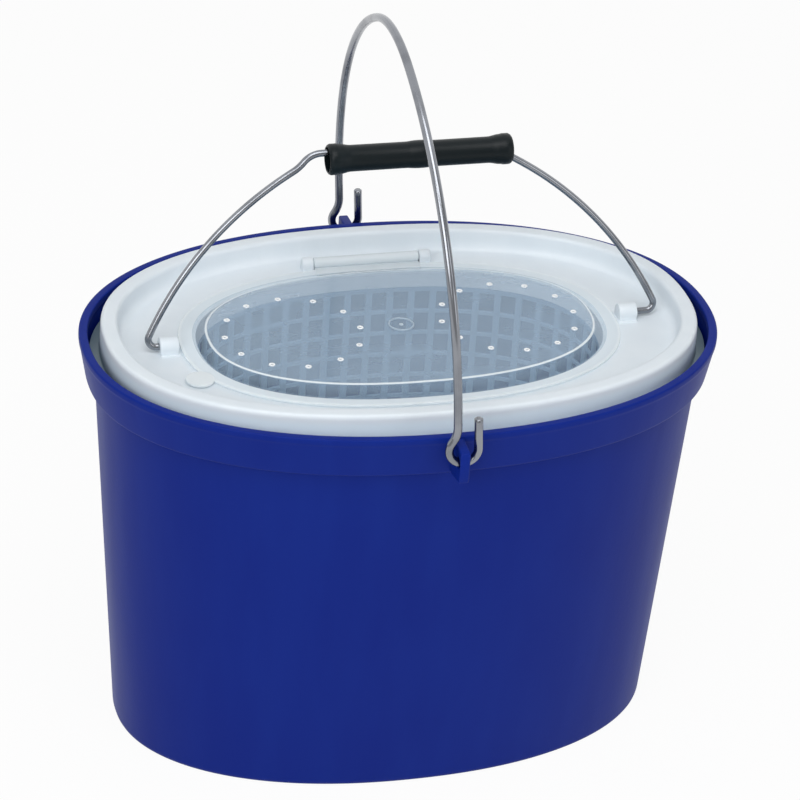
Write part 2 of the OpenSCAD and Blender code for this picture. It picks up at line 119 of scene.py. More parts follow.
class Graph:
    """A node tree, and the one method that adds nodes to it."""

    def __init__(self, tree: bpy.types.NodeTree) -> None:
        """Wraps a tree.

        Args:
            tree: The shader or geometry tree that nodes are added to.
        """
        self.tree = tree

    def add(self, kind: str, inputs: dict[Any, Any] | None = None, **settings: Any) -> Node:
        """Adds one node.

        Args:
            kind: The node's type, such as "ShaderNodeMath".
            inputs: Values, sockets or Numbers, by the input's name or place.
            settings: The node's own properties, set before its inputs.

        Returns:
            The new node.
        """
        node = self.tree.nodes.new(kind)
        for name, value in settings.items():
            setattr(node, name, value)
        for key, value in (inputs or {}).items():
            socket = node.inputs[key]
            if isinstance(value, Number):
                value = value.socket
            if isinstance(value, NodeSocket):
                self.tree.links.new(value, socket)
            else:
                socket.default_value = value
        return node

    def out(self, kind: str, inputs: dict[Any, Any] | None = None, **settings: Any) -> NodeSocket:
        """Adds one node, as add does, and returns its first output."""
        return self.add(kind, inputs, **settings).outputs[0]

    def number(self, socket: NodeSocket) -> Number:
        """Wraps an output socket so that it can stand in an expression."""
        return Number(self, socket)

    def rays(self) -> list[Number]:
        """Three numbers: 1 on a camera ray, on a glossy ray and on a transmission ray, or else 0."""
        path = self.add("ShaderNodeLightPath")
        return [self.number(path.outputs[f"Is {kind} Ray"]) for kind in ("Camera", "Glossy", "Transmission")]


class Number:
    """An output socket that holds a number, with the operators of arithmetic."""

    def __init__(self, graph: Graph, socket: NodeSocket) -> None:
        """Wraps a socket.

        Args:
            graph: The tree that new Math nodes go to.
            socket: The output that holds the number.
        """
        self.graph = graph
        self.socket = socket

    def _math(self, operation: str, *terms: Number | float, clamp: bool = False) -> Number:
        """Adds a Math node on some terms and returns its value."""
        value = self.graph.out("ShaderNodeMath", dict(enumerate(terms)), operation=operation, use_clamp=clamp)
        return Number(self.graph, value)

    def __add__(self, other: Number | float) -> Number:
        """self + other."""
        return self._math("ADD", self, other)

    __radd__ = __add__

    def __sub__(self, other: Number | float) -> Number:
        """self - other."""
        return self._math("SUBTRACT", self, other)

    def __rsub__(self, other: Number | float) -> Number:
        """other - self."""
        return self._math("SUBTRACT", other, self)

    def __mul__(self, other: Number | float) -> Number:
        """self * other."""
        return self._math("MULTIPLY", self, other)

    __rmul__ = __mul__

    def __rtruediv__(self, other: Number | float) -> Number:
        """other / self."""
        return self._math("DIVIDE", other, self)

    def __truediv__(self, other: Number | float) -> Number:
        """self / other."""
        return self._math("DIVIDE", self, other)

    def __pow__(self, other: Number | float) -> Number:
        """self ** other."""
        return self._math("POWER", self, other)

    def __abs__(self) -> Number:
        """abs(self)."""
        return self._math("ABSOLUTE", self)

    def sign(self) -> Number:
        """-1, 0 or 1, as the number's sign is."""
        return self._math("SIGN", self)

    def clamped(self) -> Number:
        """The number held between 0 and 1."""
        return self._math("ADD", self, 0.0, clamp=True)

    def ramp(self, low: float, high: float) -> Number:
        """Rises smoothly from 0 at low to 1 at high.

        Args:
            low: The number at which the ramp starts.
            high: The number at which it is full.

        Returns:
            The ramp's value.
        """
        bounds = {"Value": self, "From Min": low, "From Max": high}
        eased = self.graph.out("ShaderNodeMapRange", bounds, interpolation_type="SMOOTHSTEP")
        return Number(self.graph, eased)


class Paint(Graph):
    """The node tree of a material, with the patterns that the finishes use."""

    def __init__(self, name: str) -> None:
        """Starts a material with an empty tree.

        Args:
            name: The material's name.
        """
        self.material = bpy.data.materials.new(name)
        self.material.use_nodes = True
        self.material.node_tree.nodes.clear()
        super().__init__(self.material.node_tree)
        self.place = self.add("ShaderNodeTexCoord").outputs["Object"]

    def stretched(self, scale: Sequence[float], at: NodeSocket | None = None) -> NodeSocket:
        """Coordinates scaled along each axis, for grain that runs one way."""
        return self.out("ShaderNodeMapping", {"Vector": at or self.place, "Scale": tuple(scale)})

    def noise(self, scale: float, detail: float = 3.0, at: NodeSocket | None = None) -> Number:
        """Noise on the piece.

        Args:
            scale: Waves per metre, roughly.
            detail: Octaves.
            at: The coordinates, or None for the object's own.

        Returns:
            The noise, around 0.5.
        """
        place = {"Vector": at or self.place, "Scale": scale, "Detail": detail}
        return self.number(self.out("ShaderNodeTexNoise", place))

    def axis(self, name: str) -> Number:
        """One coordinate of the object's own place, in metres."""
        return self.number(self.add("ShaderNodeSeparateXYZ", {0: self.place}).outputs[name])

    def attribute(self, name: str) -> Number:
        """A number stored on the mesh."""
        return self.number(self.add("ShaderNodeAttribute", attribute_name=name).outputs["Fac"])

    def blend(self, factor: Number, low: Sequence[float], high: Sequence[float]) -> NodeSocket:
        """A colour between two.

        Args:
            factor: 0 for the first colour, 1 for the second.
            low: The first colour, or a socket that holds it.
            high: The second colour, or a socket that holds it.

        Returns:
            The output that holds the colour.
        """
        node = self.add("ShaderNodeMix", {0: factor, 6: low, 7: high}, data_type="RGBA")
        return node.outputs[2]

    def bump(self, height: Number, strength: float, distance: float) -> NodeSocket:
        """A bumped normal.

        Args:
            height: The height's pattern, from 0 to 1.
            strength: How much of it shows.
            distance: The height of 1, in metres.

        Returns:
            The normal, for a shader's Normal socket.
        """
        shape = {"Height": height, "Strength": strength, "Distance": distance}
        return self.out("ShaderNodeBump", shape)

    def close(self, surface: NodeSocket) -> Material:
        """Ends the tree in the material's output and returns the material."""
        self.add("ShaderNodeOutputMaterial", {"Surface": surface})
        return self.material

    def coated(self, inputs: dict[str, Any]) -> Material:
        """Ends the tree in one Principled shader with these inputs."""
        return self.close(self.out("ShaderNodeBsdfPrincipled", inputs))


def rgb(red: float, green: float, blue: float) -> Colour:
    """A colour as the screen shows it, from 0 to 255, as a linear one.

    Args:
        red: The red channel.
        green: The green one.
        blue: The blue one.

    Returns:
        The linear colour, with full alpha.
    """

    def linear(value: float) -> float:
        """One channel, from 0-255 to linear."""
        share = value / 255
        return share / 12.92 if share <= 0.04045 else ((share + 0.055) / 1.055) ** 2.4

    return (linear(red), linear(green), linear(blue), 1.0)


# --------------------------------------------------------------------------
# Finishes
# --------------------------------------------------------------------------


@dataclass(frozen=True)
class MouldedFinish:
    """Opaque moulded plastic, with flow marks, fine scuffs and orange peel."""

    name: str
    colour: Colour
    flow: Colour
    roughness: float = 0.32
    gloss: float = 0.5
    scuffs: float = 0.06
    peel: float = 0.12

    def material(self) -> Material:
        """Builds the finish's material.

        Returns:
            The material.
        """
        paint = Paint(self.name)
        streaks = paint.noise(58.0, 4.0, paint.stretched((1.0, 1.0, 0.14))).ramp(0.36, 0.68)
        clouds = paint.noise(9.0, 2.0).ramp(0.3, 0.7)
        scratch = paint.noise(900.0, 2.0, paint.stretched((0.06, 0.06, 1.0))).ramp(0.63, 0.72)
        patch = paint.noise(22.0, 2.0).ramp(0.45, 0.75)
        flow = (streaks * 0.45 + clouds * 0.55).clamped()
        rough = self.roughness + self.scuffs * (scratch * patch + clouds * 0.5) - 0.02 * streaks
        skin = paint.noise(420.0, 2.0) * 0.6 + paint.noise(60.0, 2.0) * 0.4
        return paint.coated(
            {
                "Base Color": self.with_painted_light(paint, paint.blend(flow, self.colour, self.flow)),
                "Roughness": rough.clamped(),
                "Specular IOR Level": self.gloss,
                "Normal": paint.bump(skin, self.peel, 0.0006),
            }
        )

    def with_painted_light(self, paint: Paint, base: NodeSocket) -> NodeSocket:
        """The colour that reaches the shader, with any painted light: here none, only the plastic's own."""
        return base


@dataclass(frozen=True)
class PaintedLightFinish(MouldedFinish):
    """Moulded plastic with painted light: a painted bluish glow, reflected from the bucket, on its outside
    skirt, and painted shade low in the gap to the bucket, darkest at its ends.

    The outside is where a point lies beyond the oval of half-axes half. The
    tones come in below the heights of edge and deep. All are in metres.
    """

    # side: a painted bluish glow, reflected from the bucket onto the skirt. groove: painted shade in the gap
    # to the bucket.
    side: Colour = WHITE_LIGHT
    groove_shade: Colour = WHITE_LIGHT
    half: Point = (0.1712, 0.1098)
    power: float = 2.29
    edge: Point = (0.2515, 0.2565)
    deep: Point = (0.2400, 0.2500)

    def with_painted_light(self, paint: Paint, base: NodeSocket) -> NodeSocket:
        """Paints light and shade on the skirt: a bluish glow reflected from the bucket, and shade low in the
        gap to the bucket, darkest at the ends.

        Args:
            paint: The material's tree.
            base: The plastic's own colour, before the painted light.

        Returns:
            The colour with the painted glow on the skirt and the painted shade in the gap.
        """
        along, across = abs(paint.axis("X")) / self.half[0], abs(paint.axis("Y")) / self.half[1]
        outside = (along**self.power + across**self.power).ramp(0.99, 1.02)
        # Painted light: a bluish glow reflected from the bucket, on the skirt below the heights of edge.
        skirt = outside * (1 - paint.axis("Z").ramp(*self.edge)) * 0.75
        # Painted shade low in the gap between the skirt and the bucket, below the heights of deep, darkest
        # towards the ends.
        groove_shade = outside * (1 - paint.axis("Z").ramp(*self.deep)) * (0.05 + along.ramp(0.72, 0.98) * 0.9)
        return paint.blend(groove_shade.clamped(), paint.blend(skirt.clamped(), base, self.side), self.groove_shade)


@dataclass(frozen=True)
class FrostedFinish:
    """Milky see-through plastic, whiter and more opaque where the mesh says so: where it is thicker, and
    along painted highlights.
    """

    name: str
    thin: Colour
    # The colour where the mesh marks thicker plastic, and of the painted highlight along the dome's top edge.
    thick_and_highlight: Colour
    cover: float = 0.38
    thick_and_highlight_cover: float = 0.92
    roughness: float = 0.14

    def material(self) -> Material:
        """Builds the finish's material.

        Returns:
            The material, which reads the mesh's "thick" attribute.
        """
        paint = Paint(self.name)
        # The mesh's attribute marks thicker plastic and a painted highlight along the dome's top edge; both
        # turn whiter and more opaque.
        thick_and_highlight = paint.attribute("thick_and_highlight")
        milk = paint.noise(26.0, 3.0).ramp(0.3, 0.75)
        wisps = paint.noise(150.0, 3.0, paint.stretched((0.3, 1.0, 1.0))).ramp(0.5, 0.8)
        cover = self.cover + 0.05 * milk + 0.03 * wisps
        alpha = cover + (self.thick_and_highlight_cover - cover) * thick_and_highlight
        skin = paint.noise(500.0, 2.0) * 0.5 + paint.noise(35.0, 1.0) * 0.5
        return paint.coated(
            {
                "Base Color": paint.blend(thick_and_highlight, self.thin, self.thick_and_highlight),
                "Roughness": (self.roughness + 0.08 * milk).clamped(),
                "Specular IOR Level": 0.4,
                "Coat Weight": 0.1,
                "Coat Roughness": 0.05,
                "Alpha": alpha.clamped(),
                "Normal": paint.bump(skin, 0.1, 0.0005),
            }
        )


@dataclass(frozen=True)
class WireFinish:
    """Bright drawn wire with die lines, a dull film and a few specks."""

    name: str
    colour: Colour
    dull: Colour
    roughness: float = 0.15

    def material(self) -> Material:
        """Builds the finish's material.

        Returns:
            The material, which reads the mesh's "sweep" UV map.
        """
        paint = Paint(self.name)
        lines = paint.stretched((12.0, 2600.0, 1.0), paint.out("ShaderNodeUVMap", uv_map="sweep"))
        drawn = paint.noise(1.0, 3.0, lines).ramp(0.35, 0.7)
        film = paint.noise(45.0, 3.0).ramp(0.42, 0.72)
        specks = paint.noise(900.0, 1.0).ramp(0.7, 0.76)
        tone = (film * 0.6 + drawn * 0.25 + specks * 0.2).clamped()
        return paint.coated(
            {
                "Base Color": paint.blend(tone, self.colour, self.dull),
                "Metallic": 1.0,
                "Roughness": (self.roughness + 0.08 * film + 0.06 * drawn + 0.1 * specks).clamped(),
                "Normal": paint.bump(drawn, 0.12, 0.0001),
            }
        )


@dataclass(frozen=True)
class GripFinish:
    """Black moulded grip with a soft sheen and a random dusty haze, paler and rougher."""

    name: str
    colour: Colour
    dust: Colour
    roughness: float = 0.36

    def material(self) -> Material:
        """Builds the finish's material.

        Returns:
            The material.
        """
        paint = Paint(self.name)
        grain = paint.noise(1500.0, 2.0)
        pores = paint.noise(520.0, 3.0).ramp(0.55, 0.75)
        haze = paint.noise(38.0, 3.0).ramp(0.5, 0.85)
        return paint.coated(
            {
                "Base Color": paint.blend(haze, self.colour, self.dust),
                "Roughness": (self.roughness + 0.1 * haze + 0.08 * pores).clamped(),
                "Specular IOR Level": 0.22,
                "Normal": paint.bump(grain * 0.6 + pores * 0.4, 0.35, 0.00025),
            }
        )


@dataclass(frozen=True)
class FloorFinish:
    """Plain white floor that reads white to the camera and keeps a soft shadow."""

    name: str
    colour: Colour = (0.9, 0.9, 0.9, 1.0)
    shade: Colour = (0.8865, 0.8865, 0.8865, 1.0)
    glow: float = 0.94

    def material(self) -> Material:
        """Builds the finish's material.

        Returns:
            The material.
        """
        paint = Paint(self.name)
        grain = paint.noise(7.0, 3.0).ramp(0.3, 0.7)
        matt = paint.out(
            "ShaderNodeBsdfPrincipled",
            {
                "Base Color": paint.blend(grain, self.colour, self.shade),
                "Roughness": 0.85,
                "Specular IOR Level": 0.1,
            },
        )
        white = paint.out("ShaderNodeEmission", {"Color": WHITE_LIGHT, "Strength": 1.0})
        camera, glossy, through = paint.rays()
        seen = (camera + glossy + through).clamped()
        return paint.close(paint.out("ShaderNodeMixShader", {0: seen * self.glow, 1: matt, 2: white}))


BLUE = MouldedFinish(
    "blue_polypropylene", rgb(9, 35, 127), rgb(13, 40, 132), roughness=0.44, gloss=0.09, scuffs=0.07
)
# Its side and groove colours are painted light: a bluish glow reflected from the bucket on the skirt, and
# shade in the gap to the bucket.
WHITE = PaintedLightFinish(
    "white_polypropylene", rgb(221, 230, 237), rgb(227, 235, 241), roughness=0.36, gloss=0.45,
    scuffs=0.05, peel=0.08, side=rgb(226, 243, 252), groove_shade=rgb(104, 124, 134),
)
# The basket's milky plastic, painted darker and bluer: the colour stands in for the shade and the blue light
# that the bars get inside the blue bucket.
NATURAL_PAINTED_BLUE_SHADE = MouldedFinish(
    "natural_polypropylene_painted_blue_shade", rgb(128, 156, 186), rgb(138, 164, 192), roughness=0.42, gloss=0.4,
    scuffs=0.05, peel=0.08,
)
FROSTED = FrostedFinish("frosted_polypropylene", rgb(170, 195, 217), rgb(232, 240, 244))
VENT_EDGE = MouldedFinish(
    "vent_edge", rgb(246, 249, 251), rgb(250, 252, 253), roughness=0.4, scuffs=0.02, peel=0.02
)
WIRE = WireFinish("drawn_wire", rgb(149, 152, 158), rgb(108, 111, 118))
BLACK = GripFinish("black_grip", rgb(5, 16, 20), rgb(13, 28, 34))


# --------------------------------------------------------------------------
# Ovals, lofts, tubes and plates
# --------------------------------------------------------------------------


@dataclass(frozen=True)
class Oval:
    """An oval's half-axes, in millimetres."""

    a: float
    b: float

    def grow(self, by: float, across: float | None = None) -> Oval:
        """The oval made larger all round, or by another amount across."""
        return Oval(self.a + by, self.b + (by if across is None else across))

    def shrink(self, by: float, across: float | None = None) -> Oval:
        """The oval made smaller all round, or by another amount across."""
        return self.grow(-by, None if across is None else -across)

    def points(self, power: float, count: int) -> np.ndarray:
        """Points round the oval, a superellipse of the given power.

        Args:
            power: 2 for an ellipse, more for a squarer oval.
            count: How many points.

        Returns:
            An array of count rows of x and y.
        """
        turn = np.arange(count) * 2 * math.pi / count
        across, up = np.cos(turn), np.sin(turn)
        return np.stack(
            [
                self.a * np.sign(across) * np.abs(across) ** (2 / power),
                self.b * np.sign(up) * np.abs(up) ** (2 / power),
            ],
            axis=1,
        )


@dataclass(frozen=True)
class Ring:
    """One corner of a shell's section: an oval at a height, and how far it is rounded."""

    oval: Oval
    z: float
    rounding: float = 0.0
    power: float = 0.0
    # How far the lid turns whiter and more opaque here: for thicker plastic, and at the dome's top edge for a
    # painted highlight.
    thick_and_highlight: float = 0.0

    def row(self) -> np.ndarray:
        """The ring as numbers: half-axes, height, power, and its thickness and painted highlight."""
        return np.array([self.oval.a, self.oval.b, self.z, self.power, self.thick_and_highlight])


def rounded(rings: Sequence[Ring], power: float, loop: bool, steps: int) -> list[np.ndarray]:
    """Rounds the corners of a shell's section.

    Args:
        rings: The section's corners, in order.
        power: The power of every ring that has none of its own.
        loop: Whether the last corner joins the first.
        steps: Points along each rounding.

    Returns:
        The rings to loft, each as Ring.row gives it.
    """
    rows = [r.row() for r in rings]
    for row in rows:
        row[3] = row[3] or power
    out: list[np.ndarray] = []
    count = len(rows)
    for k, (ring, row) in enumerate(zip(rings, rows)):
        if ring.rounding <= 0 or (not loop and k in (0, count - 1)):
            out.append(row)
            continue
        ends = []
        for other in (rows[k - 1], rows[(k + 1) % count]):
            run = float(np.linalg.norm((other - row)[:3])) or 1.0
            ends.append(row + (other - row) * min(ring.rounding / run, MOST_OF_HALF))
        for j in range(steps + 1):
            t = j / steps
            point = ends[0] * (1 - t) ** 2 + row * 2 * t * (1 - t) + ends[1] * t * t
            point[4] = ring.thick_and_highlight
            out.append(point)
    return out


def linked(name: str, data: Any) -> Object:
    """An object of a mesh, curve, light or camera, put in the scene at the origin.

    Args:
        name: The object's name.
        data: Its mesh, curve, light or camera.

    Returns:
        The object.
    """
    piece = bpy.data.objects.new(name, data)
    bpy.context.scene.collection.objects.link(piece)
    return piece


def mesh_object(
    name: str, verts: Sequence[Any], faces: Iterable[Sequence[int]], smooth: float = SMOOTH_TO
) -> Object:
    """Makes an object from millimetre points, its faces pointing outwards.

    Args:
        name: The object's name.
        verts: Points in millimetres.
        faces: Lists of point numbers.
        smooth: The angle in degrees over which an edge stays sharp.

    Returns:
        The object, at the origin.
    """
    mesh = bpy.data.meshes.new(name)
    mesh.from_pydata((np.asarray(verts, float) * MM).tolist(), [], [list(f) for f in faces])
    return outward(linked(name, mesh), smooth)


def outward(piece: Object, smooth: float = SMOOTH_TO) -> Object:
    """Merges a mesh's doubles, points its faces outwards and softens it.

    Args:
        piece: The object whose mesh is changed.
        smooth: The angle in degrees over which an edge stays sharp.

    Returns:
        The same object.
    """
    shape = bmesh.new()
    shape.from_mesh(piece.data)
    bmesh.ops.remove_doubles(shape, verts=shape.verts, dist=1e-7)
    bmesh.ops.recalc_face_normals(shape, faces=shape.faces)
    shape.to_mesh(piece.data)
    shape.free()
    return soften(piece, smooth)


def soften(piece: Object, angle: float) -> Object:
    """Shades a mesh smooth, but for edges sharper than an angle in degrees.

    Args:
        piece: The object.
        angle: The angle.

    Returns:
        The same object.
    """
    piece.data.shade_smooth()
    piece.data.set_sharp_from_angle(angle=math.radians(angle))
    return piece


def loft(name: str, rings: Sequence[Ring], power: float, closing: Closing, sides: int, steps: int) -> Object:
    """Lofts a shell through ovals, with rounded corners.

    Args:
        name: The object's name.
        rings: The corners of its section.
        power: The ovals' power, where a ring has none of its own.
        closing: How the first and last rings end.
        sides: Points round each ring.
        steps: Points along each rounding.

    Returns:
        The shell, with a "thick" attribute.
    """
    loop = closing is Closing.LOOP
    rows = rounded(rings, power, loop, steps)
    ovals = [np.column_stack([Oval(r[0], r[1]).points(r[3], sides), np.full(sides, r[2])]) for r in rows]
    verts = np.concatenate(ovals)
    thick_and_highlight = np.repeat([r[4] for r in rows], sides)
    count = len(rows)
    faces: list[tuple[int, ...]] = []
    for j in range(count if loop else count - 1):
        k = (j + 1) % count
        for i in range(sides):
            n = (i + 1) % sides
            faces.append((j * sides + i, j * sides + n, k * sides + n, k * sides + i))
    if not loop:
        for row, flip in ((0, True), (count - 1, False)):
            middle = len(verts)
            verts = np.vstack([verts, [0.0, 0.0, rows[row][2]]])
            thick_and_highlight = np.append(thick_and_highlight, rows[row][4])
            for i in range(sides):
                a, b = row * sides + i, row * sides + (i + 1) % sides
                faces.append((b, a, middle) if flip else (a, b, middle))
    piece = mesh_object(name, verts, faces)
    if len(piece.data.vertices) == len(thick_and_highlight):
        layer = piece.data.attributes.new("thick_and_highlight", "FLOAT", "POINT")
        layer.data.foreach_set("value", thick_and_highlight.astype(np.float32))
    return piece


def set_thick(piece: Object, value: float) -> None:
    """Gives a whole mesh one value of the "thick" attribute.

    Args:
        piece: The object.
        value: The value, 1 for the whitest.
    """
    mesh = piece.data
    layer = mesh.attributes.get("thick_and_highlight") or mesh.attributes.new("thick_and_highlight", "FLOAT", "POINT")
    layer.data.foreach_set("value", np.full(len(mesh.vertices), value, np.float32))


def arc(middle: Sequence[float], radius: float, start: float, end: float, steps: int) -> list[Point]:
    """Points along an arc in a plane, both ends included.

    Args:
        middle: The arc's centre.
        radius: Its radius.
        start: Its first angle, in degrees.
        end: Its last angle.
        steps: Segments along it.

    Returns:
        The points.
    """
    turns = [math.radians(start + (end - start) * k / steps) for k in range(steps + 1)]
    return [(middle[0] + radius * math.cos(t), middle[1] + radius * math.sin(t)) for t in turns]


def tube(name: str, path: Sequence[Vector], diameter: float, sides: int) -> Object:
    """Sweeps a round wire along a path, with cut and slightly eased ends.

    Args:
        name: The object's name.
        path: Points in millimetres.
        diameter: The wire's diameter.
        sides: Points round it.

    Returns:
        The wire, with a UV map "sweep" of metres along and turns around.
    """
    points = [path[0]]
    for p in path[1:]:
        if (p - points[-1]).length > 0.02:
            points.append(p)
    ease = diameter * WIRE_EASE
    first, last = (points[1] - points[0]).normalized(), (points[-1] - points[-2]).normalized()
    stations = [(points[0], 1 - 2 * WIRE_EASE), (points[0] + first * ease, 1.0)]
    stations += [(p, 1.0) for p in points[1:-1]]
    stations += [(points[-1] - last * ease, 1.0), (points[-1], 1 - 2 * WIRE_EASE)]
    verts, faces, lengths = [], [], [0.0]
    across = first.orthogonal().normalized()
    before = first
    for k, (centre, share) in enumerate(stations):
        here = stations[min(k + 1, len(stations) - 1)][0] - stations[max(k - 1, 0)][0]
        here.normalize()
        across = before.rotation_difference(here) @ across
        across = (across - here * across.dot(here)).normalized()
        up = here.cross(across)
        before = here
        if k:
            lengths.append(lengths[-1] + (centre - stations[k - 1][0]).length)
        for i in range(sides):
            turn = 2 * math.pi * i / sides
            verts.append(centre + (across * math.cos(turn) + up * math.sin(turn)) * (share * diameter / 2))
    count = len(stations)
    for k in range(count - 1):
        for i in range(sides):
            n = (i + 1) % sides
            faces.append((k * sides + i, k * sides + n, (k + 1) * sides + n, (k + 1) * sides + i))
    faces.append(tuple(range(sides - 1, -1, -1)))
    faces.append(tuple((count - 1) * sides + i for i in range(sides)))
    piece = mesh_object(name, np.array([v[:] for v in verts]), faces, WIRE_SMOOTH_TO)
    layer = piece.data.uv_layers.new(name="sweep")
    for polygon in piece.data.polygons:
        rows = [piece.data.loops[i].vertex_index % sides for i in polygon.loop_indices]
        wraps = len(rows) == 4 and max(rows) == sides - 1 and min(rows) == 0
        for i in polygon.loop_indices:
            index = piece.data.loops[i].vertex_index
            turn = index % sides + (sides if wraps and index % sides == 0 else 0)
            layer.data[i].uv = (lengths[index // sides] * MM, turn / sides * diameter * math.pi * MM)
    return piece


def lathe(name: str, profile: Sequence[Point], sides: int, loop: bool = False) -> Object:
    """Turns a profile about the X axis.

    Args:
        name: The object's name.
        profile: Places along X and radii. A radius of 0 closes an end.
        sides: Points round it.
        loop: Whether the profile's last point joins its first, as on a sleeve.

    Returns:
        The turned object.
    """
    verts: list[tuple[float, float, float]] = []
    rows: list[list[int]] = []
    for x, radius in profile:
        count = 1 if radius < 1e-6 else sides
        rows.append(list(range(len(verts), len(verts) + count)))
        verts += [(x, y, z) for y, z in arc((0, 0), radius, 0, 360, sides)[:count]]
    faces: list[tuple[int, ...]] = []
    pairs = list(zip(rows, rows[1:])) + ([(rows[-1], rows[0])] if loop else [])
    for one, two in pairs:
        for i in range(sides):
            n = (i + 1) % sides
            corners = [one[i % len(one)], one[n % len(one)], two[n % len(two)], two[i % len(two)]]
            faces.append(tuple(dict.fromkeys(corners)))
    return mesh_object(name, verts, faces)


def plate(name: str, outlines: Sequence[Sequence[Point]], thickness: float, ease: float) -> Object:
    """A flat plate with eased edges, from an outline and its holes.

    Args:
        name: The object's name.
        outlines: The outline and any holes, in millimetres.
        thickness: The plate's full thickness.
        ease: The radius of its edges.

    Returns:
        The plate, lying in the XY plane, its middle at height 0.
    """
    curve = bpy.data.curves.new(name, "CURVE")
    curve.dimensions = "2D"
    curve.fill_mode = "BOTH"
    curve.extrude = (thickness / 2 - ease) * MM
    curve.bevel_depth = ease * MM
    curve.bevel_resolution = 3
    curve.offset = -ease * MM
    for outline in outlines:
        spline = curve.splines.new("POLY")
        spline.points.add(len(outline) - 1)
        spline.use_cyclic_u = True
        for point, (x, y) in zip(spline.points, outline):
            point.co = (x * MM, y * MM, 0.0, 1.0)
    drawn = linked(name + "_outline", curve)
    mesh = bpy.data.meshes.new_from_object(drawn.evaluated_get(bpy.context.evaluated_depsgraph_get()))
    bpy.data.objects.remove(drawn)
    mesh.name = name
    return outward(linked(name, mesh))


def block(name: str, low: Sequence[float], high: Sequence[float], ease: float) -> Object:
    """A block with eased edges between two corners, in millimetres.

    Args:
        name: The object's name.
        low: Its lowest corner.
        high: Its highest corner.
        ease: The radius of its edges.

    Returns:
        The block.
    """
    shape = bmesh.new()
    bmesh.ops.create_cube(shape, size=1.0)
    for vert in shape.verts:
        vert.co = Vector([(high[i] if vert.co[i] > 0 else low[i]) * MM for i in range(3)])
    bmesh.ops.bevel(shape, geom=shape.edges[:], offset=ease * MM, segments=3, profile=0.5, affect="EDGES")
    return outward(from_bmesh(name, shape))


def from_bmesh(name: str, shape: bmesh.types.BMesh) -> Object:
    """A linked object from a bmesh, which is freed.

    Args:
        name: The object's name.
        shape: The bmesh.

    Returns:
        The object.
    """
    mesh = bpy.data.meshes.new(name)
    shape.to_mesh(mesh)
    shape.free()
    return linked(name, mesh)


def moved(piece: Object, matrix: Matrix) -> Object:
    """Moves a piece's mesh, in millimetres, and leaves its object at the origin.

    Args:
        piece: The piece.
        matrix: The move, with its shift in millimetres. It may mirror.

    Returns:
        The same piece.
    """
    shift = matrix.copy()
    shift.translation = matrix.translation * MM
    piece.data.transform(shift)
    if matrix.determinant() < 0:
        piece.data.flip_normals()
    return piece


def mirrored(pieces: list[Object]) -> list[Object]:
    """Turns some pieces over to the left side of the part."""
    return [moved(piece, Matrix.Scale(-1, 4, (1, 0, 0))) for piece in pieces]


def joined(name: str, pieces: Sequence[Object]) -> Object:
    """Joins pieces into the first of them, and names it.

    Args:
        name: The name of the whole.
        pieces: The pieces.

    Returns:
        The whole.
    """
    with bpy.context.temp_override(active_object=pieces[0], selected_editable_objects=list(pieces)):
        bpy.ops.object.join()
    pieces[0].name = name
    pieces[0].data.name = name
    return pieces[0]


def applied(piece: Object) -> Object:
    """Writes a piece's modifiers into its mesh and takes them off.

    Args:
        piece: The piece.

    Returns:
        The same piece.
    """
    piece.update_tag()
    mesh = bpy.data.meshes.new_from_object(piece.evaluated_get(bpy.context.evaluated_depsgraph_get()))
    piece.modifiers.clear()
    old, piece.data = piece.data, mesh
    bpy.data.meshes.remove(old)
    mesh.name = piece.name
    return piece


def cut(piece: Object, cutter: Object) -> Object:
    """Takes one closed mesh out of another and removes the cutter.

    Args:
        piece: The piece that is cut.
        cutter: The shape that is taken out.

    Returns:
        The same piece.
    """
    modifier = piece.modifiers.new("cut", "BOOLEAN")
    modifier.operation = "DIFFERENCE"
    modifier.solver = "EXACT"
    modifier.object = cutter
    soften(applied(piece), CUT_SMOOTH_TO)
    bpy.data.objects.remove(cutter)
    return piece


def ease_edges(piece: Object, radius: float) -> Object:
    """Bevels a mesh's sharp edges by a radius in millimetres and keeps the result.

    Args:
        piece: The piece.
        radius: The bevel's width.

    Returns:
        The same piece.
    """
    shape = bmesh.new()
    shape.from_mesh(piece.data)
    sharp = [e for e in shape.edges if e.is_manifold and e.calc_face_angle(0.0) > math.radians(EASE_FROM)]
    bmesh.ops.bevel(shape, geom=sharp, offset=radius * MM, segments=1, profile=0.5, affect="EDGES")
    shape.to_mesh(piece.data)
    shape.free()
    return soften(piece, CUT_SMOOTH_TO)


def dress(piece: Object, material: Material | None, body: Body, slot: Slot, *nodes: str) -> None:
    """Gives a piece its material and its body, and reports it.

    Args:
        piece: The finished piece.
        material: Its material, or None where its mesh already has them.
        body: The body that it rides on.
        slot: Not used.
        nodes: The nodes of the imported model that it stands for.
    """
    if material is not None:
        piece.data.materials.clear()
        piece.data.materials.append(material)
    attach(piece, body.value)
    if nodes:
        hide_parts(*nodes)
    LOG.info("%s: %d faces, rides on %s", piece.name, len(piece.data.polygons), body.value)


